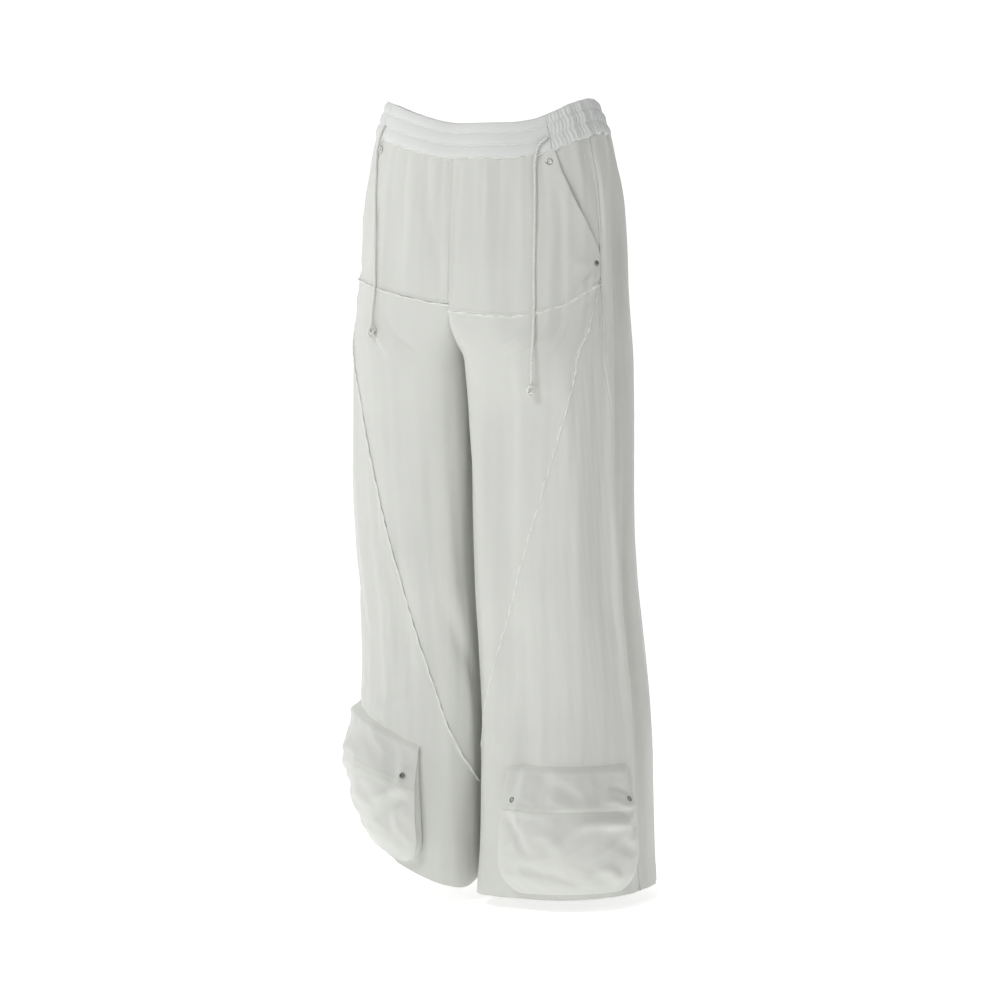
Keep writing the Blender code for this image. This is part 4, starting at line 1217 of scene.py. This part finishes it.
def join_rings(shape, rings):
    """Faces between rings of points, with both ends closed."""
    count = len(rings[0])
    for lower, upper in zip(rings, rings[1:]):
        for step in range(count):
            after = (step + 1) % count
            shape.faces.new((lower[step], lower[after], upper[after], upper[step]))
    shape.faces.new(rings[0][::-1])
    shape.faces.new(rings[-1])


def snap_profile(diameter, height):
    radius = diameter / 2.0
    return ((radius * 0.94, 0.0), (radius, height * 0.25), (radius * 0.97, height * 0.62),
            (radius * 0.86, height * 0.93), (radius * 0.70, height), (radius * 0.56, height * 0.90),
            (radius * 0.46, height * 0.55), (radius * 0.42, height * 0.25), (radius * 0.10, height * 0.22))


def well_profile(diameter, height):
    """Painted shade: a dark disc at the bottom of a snap's ring, standing in for the shade in its hollow."""
    radius = diameter / 2.0
    return ((radius * 0.50, height * 0.20), (radius * 0.48, height * 0.52), (radius * 0.10, height * 0.54))


def rivet_profile(diameter, height):
    radius = diameter / 2.0
    return ((radius * 0.96, 0.0), (radius, height * 0.2), (radius * 0.93, height * 0.55),
            (radius * 0.74, height * 0.85), (radius * 0.45, height * 0.98), (radius * 0.10, height))


def cloth_place(side, turn, drop):
    """A point just over the cloth, and the cloth's outward direction there."""
    point = cloth_points(side, turn, drop, LAYER_GAP)[0]
    return Vector(point), Vector(outward_normals(side, np.array([turn]), drop)[0])


def make_metal(side, word, materials):
    place, normal = cloth_place(side, *POCKET_SNAP_PLACE)
    turned("pocket_snap_metal_" + word, snap_profile(*SNAP_SIZE), place, normal, materials["bright"],
           "pocket_snap_" + word)
    # Painted shade: a dark disc inside the snap's ring stands in for the shade in its hollow.
    turned("pocket_snap_well_" + word, well_profile(*SNAP_SIZE), place, normal, materials["dark"])
    place, normal = cloth_place(side, *POCKET_RIVET_PLACE)
    turned("pocket_rivet_metal_" + word, rivet_profile(*RIVET_SIZE), place, normal, materials["dark"],
           "pocket_rivet_" + word)
    for which, across in (("inner", -FLAP_SNAP_ACROSS), ("outer", FLAP_SNAP_ACROSS)):
        place, normal = flap_place(side, across, FLAP_SNAP_SHARE)
        turned("pouch_snap_metal_" + which + "_" + word, snap_profile(*FLAP_SNAP_SIZE), place, normal,
               materials["dark"], "pouch_snap_" + which + "_" + word)


def flap_place(side, across, share):
    """A point on the flap, and the flap's own outward direction there."""
    def point(across_place, share_place):
        lift = float(flap_lift(side, across_place, share_place))
        return Vector(cloth_points(side, float(pouch_turn(across_place)), pouch_drop(share_place), lift)[0])

    step = 0.06
    along = point(across + step, share) - point(across - step, share)
    down = point(across, share + step) - point(across, share - step)
    normal = (down.cross(along) * side).normalized()
    return point(across, share) + normal * LAYER_GAP, normal


def smooth_route(points, step):
    points = np.array(points)
    run = np.concatenate(([0.0], np.cumsum(np.linalg.norm(np.diff(points, axis=0), axis=1))))
    count = int(round(run[-1] / step)) + 1
    places = np.linspace(0.0, run[-1], count)
    return np.column_stack([curve_value(run, points[:, axis], places) for axis in range(3)]), run[-1]


def route_frames(points):
    """A tangent and two cross directions at each point, carried along without twisting."""
    tangents = np.gradient(points, axis=0)
    tangents /= np.linalg.norm(tangents, axis=1)[:, None]
    first = np.cross(tangents[0], (0.0, 0.0, 1.0))
    first /= np.linalg.norm(first)
    firsts = []
    for tangent in tangents:
        first = first - tangent * np.dot(first, tangent)
        first /= np.linalg.norm(first)
        firsts.append(first)
    firsts = np.array(firsts)
    return tangents, firsts, np.cross(tangents, firsts)


def add_tube(shape, points, radius, sides=8):
    tangents, firsts, seconds = route_frames(points)
    radius = np.broadcast_to(radius, len(points))
    rings = []
    for count, point in enumerate(points):
        ring = []
        for step in range(sides):
            angle = 2.0 * math.pi * step / sides
            offset = firsts[count] * math.cos(angle) + seconds[count] * math.sin(angle)
            ring.append(shape.verts.new(point + offset * radius[count]))
        rings.append(ring)
    join_rings(shape, rings)


def make_cord(side, word, materials):
    route = [cloth_points(side, turn, drop, out)[0] for turn, drop, out in CORD_ROUTES[word]]
    points, length = smooth_route(route, CORD_STEP)
    tangents, firsts, seconds = route_frames(points)
    run = np.linspace(0.0, length, len(points))
    shape = bmesh.new()
    for strand in range(STRANDS):
        angle = 2.0 * math.pi * (run / CORD_TWIST + strand / STRANDS)
        offset = firsts * np.cos(angle)[:, None] + seconds * np.sin(angle)[:, None]
        add_tube(shape, points + offset * STRAND_OFFSET, STRAND_RADIUS)
    cord = finish_mesh("drawcord_twist_" + word, shape, materials["cord"])
    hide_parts("drawcord_" + word)
    knot = make_knot(points[-1], tangents[-1], word, materials)


def make_knot(end, heading, word, materials):
    """An overhand knot pulled tight, with a short frayed tuft below it."""
    heading = Vector(heading)
    middle = Vector(end) + heading * (KNOT_LENGTH / 2.0 + LAYER_GAP)
    turn_to = Vector((0.0, 0.0, -1.0)).rotation_difference(heading).to_matrix()
    shape = bmesh.new()
    count = 90
    for strand in range(2):
        line = []
        for step in range(count + 1):
            angle = 2.0 * math.pi * step / count
            ring = 2.0 + math.cos(3.0 * angle + strand * 0.5)
            local = Vector((ring * math.cos(2.0 * angle), ring * math.sin(2.0 * angle),
                            1.5 * math.sin(3.0 * angle + strand * 0.5)))
            scale = (KNOT_WIDTH / 2.0 - KNOT_STRAND_RADIUS) / 3.0
            local = Vector((local.x * scale, local.y * scale,
                            local.z * KNOT_LENGTH * 0.20 + KNOT_LENGTH * 0.08 + strand * 0.0004))
            line.append(np.array(middle + turn_to @ local))
        add_tube(shape, np.array(line[:-2]), KNOT_STRAND_RADIUS)
    for strand in range(TUFT_STRANDS):
        spin = strand * GOLDEN_ANGLE
        reach = TUFT_REACH * math.sqrt((strand + 0.5) / TUFT_STRANDS)
        line = []
        for step in range(5):
            share = step / 4.0
            spread = reach * (0.5 + 0.8 * share ** 1.5)
            local = Vector((spread * math.cos(spin + 0.4 * share), spread * math.sin(spin + 0.4 * share),
                            -KNOT_LENGTH * (0.20 + share * (0.26 + 0.04 * math.sin(strand * 1.7)))))
            line.append(np.array(middle + turn_to @ local))
        add_tube(shape, np.array(line), np.linspace(0.00035, 0.00018, 5), sides=5)
    knot = finish_mesh("drawcord_knot_twist_" + word, shape, materials["cord"])
    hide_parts("drawcord_knot_" + word)
    return knot


def make_stitches(name, lines, materials, length=0.0022, pitch=0.0032, width=0.00022, sink=0.00005):
    """Rows of small stitches. Each line is a list of points on the cloth with their normals."""
    shape = bmesh.new()
    for points, normals in lines:
        run = np.concatenate(([0.0], np.cumsum(np.linalg.norm(np.diff(points, axis=0), axis=1))))
        for start in np.arange(pitch / 2.0, run[-1] - length, pitch):
            stations = []
            for place, size in ((0.0, 0.35), (0.25, 1.0), (0.75, 1.0), (1.0, 0.35)):
                at = start + length * place
                point = np.array([np.interp(at, run, points[:, axis]) for axis in range(3)])
                normal = np.array([np.interp(at, run, normals[:, axis]) for axis in range(3)])
                ahead = np.array([np.interp(at + 0.0005, run, points[:, axis]) for axis in range(3)]) - point
                across = np.cross(normal, ahead)
                across /= np.linalg.norm(across)
                normal /= np.linalg.norm(normal)
                ring = [shape.verts.new(point + across * width * size * x
                                        + normal * (width * size * y - sink))
                        for x, y in ((1.0, 0.0), (0.6, 1.0), (-0.6, 1.0), (-1.0, 0.0), (0.0, -0.6))]
                stations.append(ring)
            join_rings(shape, stations)
    return finish_mesh(name, shape, materials["thread"])


def surface_line(side, turns, drops, relief, out=None):
    points = []
    normals = []
    for turn, drop in zip(turns, drops):
        at = np.array([turn])
        lift = relief(side, at, drop)
        if out:
            lift = lift + out(at, drop)
        points.append(cloth_points(side, at, drop, lift)[0])
        normals.append(outward_normals(side, at, drop)[0])
    return np.array(points), np.array(normals)


def leg_top_relief(side, turn, drop):
    """The form of the cloth just below the hip seam, on either side of the diagonal seam."""
    if turn[0] < diagonal_seam(side)(drop):
        return front_leg_relief(side, turn, drop)
    return side_leg_relief(side, turn, drop)


def add_raised_edge(shape, points, normals):
    """A slim, wavering ridge of cloth along a seam."""
    tangents = np.gradient(points, axis=0)
    across = np.cross(normals, tangents)
    across /= np.linalg.norm(across, axis=1)[:, None]
    run = np.concatenate(([0.0], np.cumsum(np.linalg.norm(np.diff(points, axis=0), axis=1))))
    waver = EDGE_WAVER * np.sin(run / EDGE_WAVE_LENGTH + 2.0 * np.sin(run / 0.019))
    radius = EDGE_RADIUS * (0.85 + 0.3 * np.sin(run / 0.0031 + 1.3 * np.sin(run / 0.011)))
    moved = points + across * waver[:, None] + normals * (0.3 * EDGE_RADIUS)
    add_tube(shape, moved, radius, sides=7)


# The raised edges use a lighter cloth than the panels, as a painted highlight along the ridges.
def make_raised_edges(materials):
    for side, word in ((+1, "left"), (-1, "right")):
        turns = np.linspace(0.004, 0.832, 130)
        shape = bmesh.new()
        add_raised_edge(shape, *surface_line(side, turns, [HIP_SEAM + EDGE_INSET] * 130, leg_top_relief))
        finish_mesh("hip_seam_edge_" + word, shape, materials["edge"])
        drops = np.linspace(HIP_SEAM + 0.002, DIAGONAL_TIP - 0.004, 300)
        beside = [diagonal_seam(side)(drop) + EDGE_INSET / front_length(drop) for drop in drops]
        shape = bmesh.new()
        add_raised_edge(shape, *surface_line(side, beside, drops, side_leg_relief))
        finish_mesh("diagonal_seam_edge_" + word, shape, materials["edge"])
    shape = bmesh.new()
    for drop, last_turn in ((CHANNEL_LINES[1], FRONT_BAND_END), (CHANNEL_LINES[2], FRONT_BAND_END),
                            (BAND_HEIGHT, 1.99)):
        turns = np.linspace(0.0, last_turn, int(240 * last_turn))
        lines = [surface_line(side, turns, [drop] * len(turns), lambda s, t, d: np.full(len(t), 0.0003))
                 for side in (-1, +1)]
        points = np.concatenate((lines[0][0][::-1][:-1], lines[1][0]))
        normals = np.concatenate((lines[0][1][::-1][:-1], lines[1][1]))
        add_raised_edge(shape, points, normals)
    finish_mesh("waistband_edges", shape, materials["edge"])


def make_all_stitching(materials):
    for side, word in ((+1, "left"), (-1, "right")):
        turns = np.linspace(0.01, 0.83, 70)
        hip = [surface_line(side, turns, [HIP_SEAM + STITCH_INSET] * 70, leg_top_relief)]
        drops = np.linspace(HIP_SEAM + 0.004, DIAGONAL_TIP - 0.03, 130)
        beside = [diagonal_seam(side)(drop) + STITCH_INSET / front_length(drop) for drop in drops]
        diagonal = [surface_line(side, beside, drops, side_leg_relief)]
        drops = np.linspace(BAND_HEIGHT + 0.004, POCKET_END - 0.003, 40)
        beside = [yoke_edge(drop) - 0.006 / front_length(drop) for drop in drops]
        pocket = [surface_line(side, beside, drops, yoke_relief)]
        turns = np.linspace(0.02, side_seam(HEM) - 0.01, 90)
        hem = [surface_line(side, turns, [HEM - HEM_FOLD] * 90, side_leg_relief)]
        turns = np.linspace(side_seam(HEM) + 0.01, 1.98, 90)
        hem.append(surface_line(side, turns, [HEM - HEM_FOLD] * 90, back_leg_relief))
        make_stitches("hip_seam_stitches_" + word, hip, materials)
        make_stitches("diagonal_seam_stitches_" + word, diagonal, materials)
        make_stitches("pocket_edge_stitches_" + word, pocket, materials)
        make_stitches("hem_stitches_" + word, hem, materials)


def make_stage():
    """A pale floor that turns up into a pale wall far behind the trousers."""
    azimuth = math.radians(CAMERA_AZIMUTH)
    away = Vector((-math.sin(azimuth), math.cos(azimuth), 0.0))
    right = Vector((math.cos(azimuth), math.sin(azimuth), 0.0))
    profile = [(STAGE_NEAR, 0.0), (STAGE_FAR, 0.0)]
    for step in range(1, STAGE_BEND_STEPS + 1):
        angle = math.pi / 2.0 * step / STAGE_BEND_STEPS
        profile.append((STAGE_FAR + STAGE_BEND * math.sin(angle), STAGE_BEND - STAGE_BEND * math.cos(angle)))
    profile.append((STAGE_FAR + STAGE_BEND, STAGE_TOP))
    shape = bmesh.new()
    rows = []
    for back, height in profile:
        base = away * back + Vector((0.0, 0.0, RIM_HEIGHT - FLOOR_DROP + height))
        rows.append([shape.verts.new(base + right * across)
                     for across in (-STAGE_HALF_WIDTH, 0.0, STAGE_HALF_WIDTH)])
    for lower, upper in zip(rows, rows[1:]):
        for step in range(2):
            shape.faces.new((lower[step], lower[step + 1], upper[step + 1], upper[step]))
    bmesh.ops.recalc_face_normals(shape, faces=shape.faces)
    mesh = bpy.data.meshes.new("studio_floor")
    shape.to_mesh(mesh)
    shape.free()
    mesh.shade_smooth()
    material = bpy.data.materials.new("studio_pale")
    material.use_nodes = True
    shader = material.node_tree.nodes["Principled BSDF"]
    shader.inputs["Base Color"].default_value = (STAGE_GREY, STAGE_GREY, STAGE_GREY, 1.0)
    shader.inputs["Roughness"].default_value = 0.9
    shader.inputs["Emission Color"].default_value = (1.0, 1.0, 1.0, 1.0)
    shader.inputs["Emission Strength"].default_value = STAGE_GLOW
    mesh.materials.append(material)
    floor = bpy.data.objects.new("studio_floor", mesh)
    bpy.context.scene.collection.objects.link(floor)


def make_camera():
    azimuth = math.radians(CAMERA_AZIMUTH)
    towards = Vector((math.sin(azimuth), -math.cos(azimuth), 0.0))
    right = Vector((math.cos(azimuth), math.sin(azimuth), 0.0))
    eye = right * CAMERA_RIGHT + towards * CAMERA_DISTANCE + Vector((0.0, 0.0, RIM_HEIGHT - CAMERA_DROP))
    target = right * CAMERA_RIGHT + Vector((0.0, 0.0, RIM_HEIGHT - CAMERA_AIM_DROP))
    data = bpy.data.cameras.new("camera")
    data.sensor_width = 36.0
    data.sensor_height = 36.0
    data.lens = 36.0 * CAMERA_DISTANCE / PICTURE_HEIGHT
    data.clip_end = 60.0
    camera = bpy.data.objects.new("camera", data)
    camera.location = eye
    camera.rotation_euler = (target - eye).to_track_quat("-Z", "Y").to_euler()
    bpy.context.scene.collection.objects.link(camera)
    bpy.context.scene.camera = camera


def make_light(name, azimuth, elevation, distance, size, power):
    data = bpy.data.lights.new(name, "AREA")
    data.shape = "SQUARE"
    data.size = size
    data.energy = power
    light = bpy.data.objects.new(name, data)
    target = Vector((0.0, 0.0, LIGHT_AIM_HEIGHT))
    turn = math.radians(azimuth)
    rise = math.radians(elevation)
    direction = Vector((math.sin(turn) * math.cos(rise), -math.cos(turn) * math.cos(rise), math.sin(rise)))
    light.location = target + direction * distance
    light.rotation_euler = (-direction).to_track_quat("-Z", "Y").to_euler()
    bpy.context.scene.collection.objects.link(light)


def make_lights():
    for row in LIGHTS:
        make_light(*row)
    world = bpy.data.worlds.new("studio_world")
    world.use_nodes = True
    background = world.node_tree.nodes["Background"]
    background.inputs["Color"].default_value = (1.0, 1.0, 1.0, 1.0)
    background.inputs["Strength"].default_value = WORLD_LIGHT
    bpy.context.scene.world = world
    bpy.context.scene.view_settings.view_transform = "Standard"


def make_materials():
    materials = {use: cloth_material(*values) for use, *values in CLOTHS}
    materials.update({use: metal_material(*values) for use, *values in METALS})
    return materials


def main():
    make_camera()
    materials = make_materials()
    for side, word in ((+1, "left"), (-1, "right")):
        make_cord(side, word, materials)
    make_waistband(materials)
    for side, word in ((+1, "left"), (-1, "right")):
        make_yoke(side, word, materials)
        make_facing(side, word, materials)
        make_legs(side, word, materials)
        make_pouch_face(side, word, materials)
        make_pouch_gusset(side, word, materials)
        make_pouch_flap(side, word, materials)
        make_metal(side, word, materials)
    make_allowances(materials)
    make_all_stitching(materials)
    make_raised_edges(materials)
    make_stage()
    make_lights()


main()
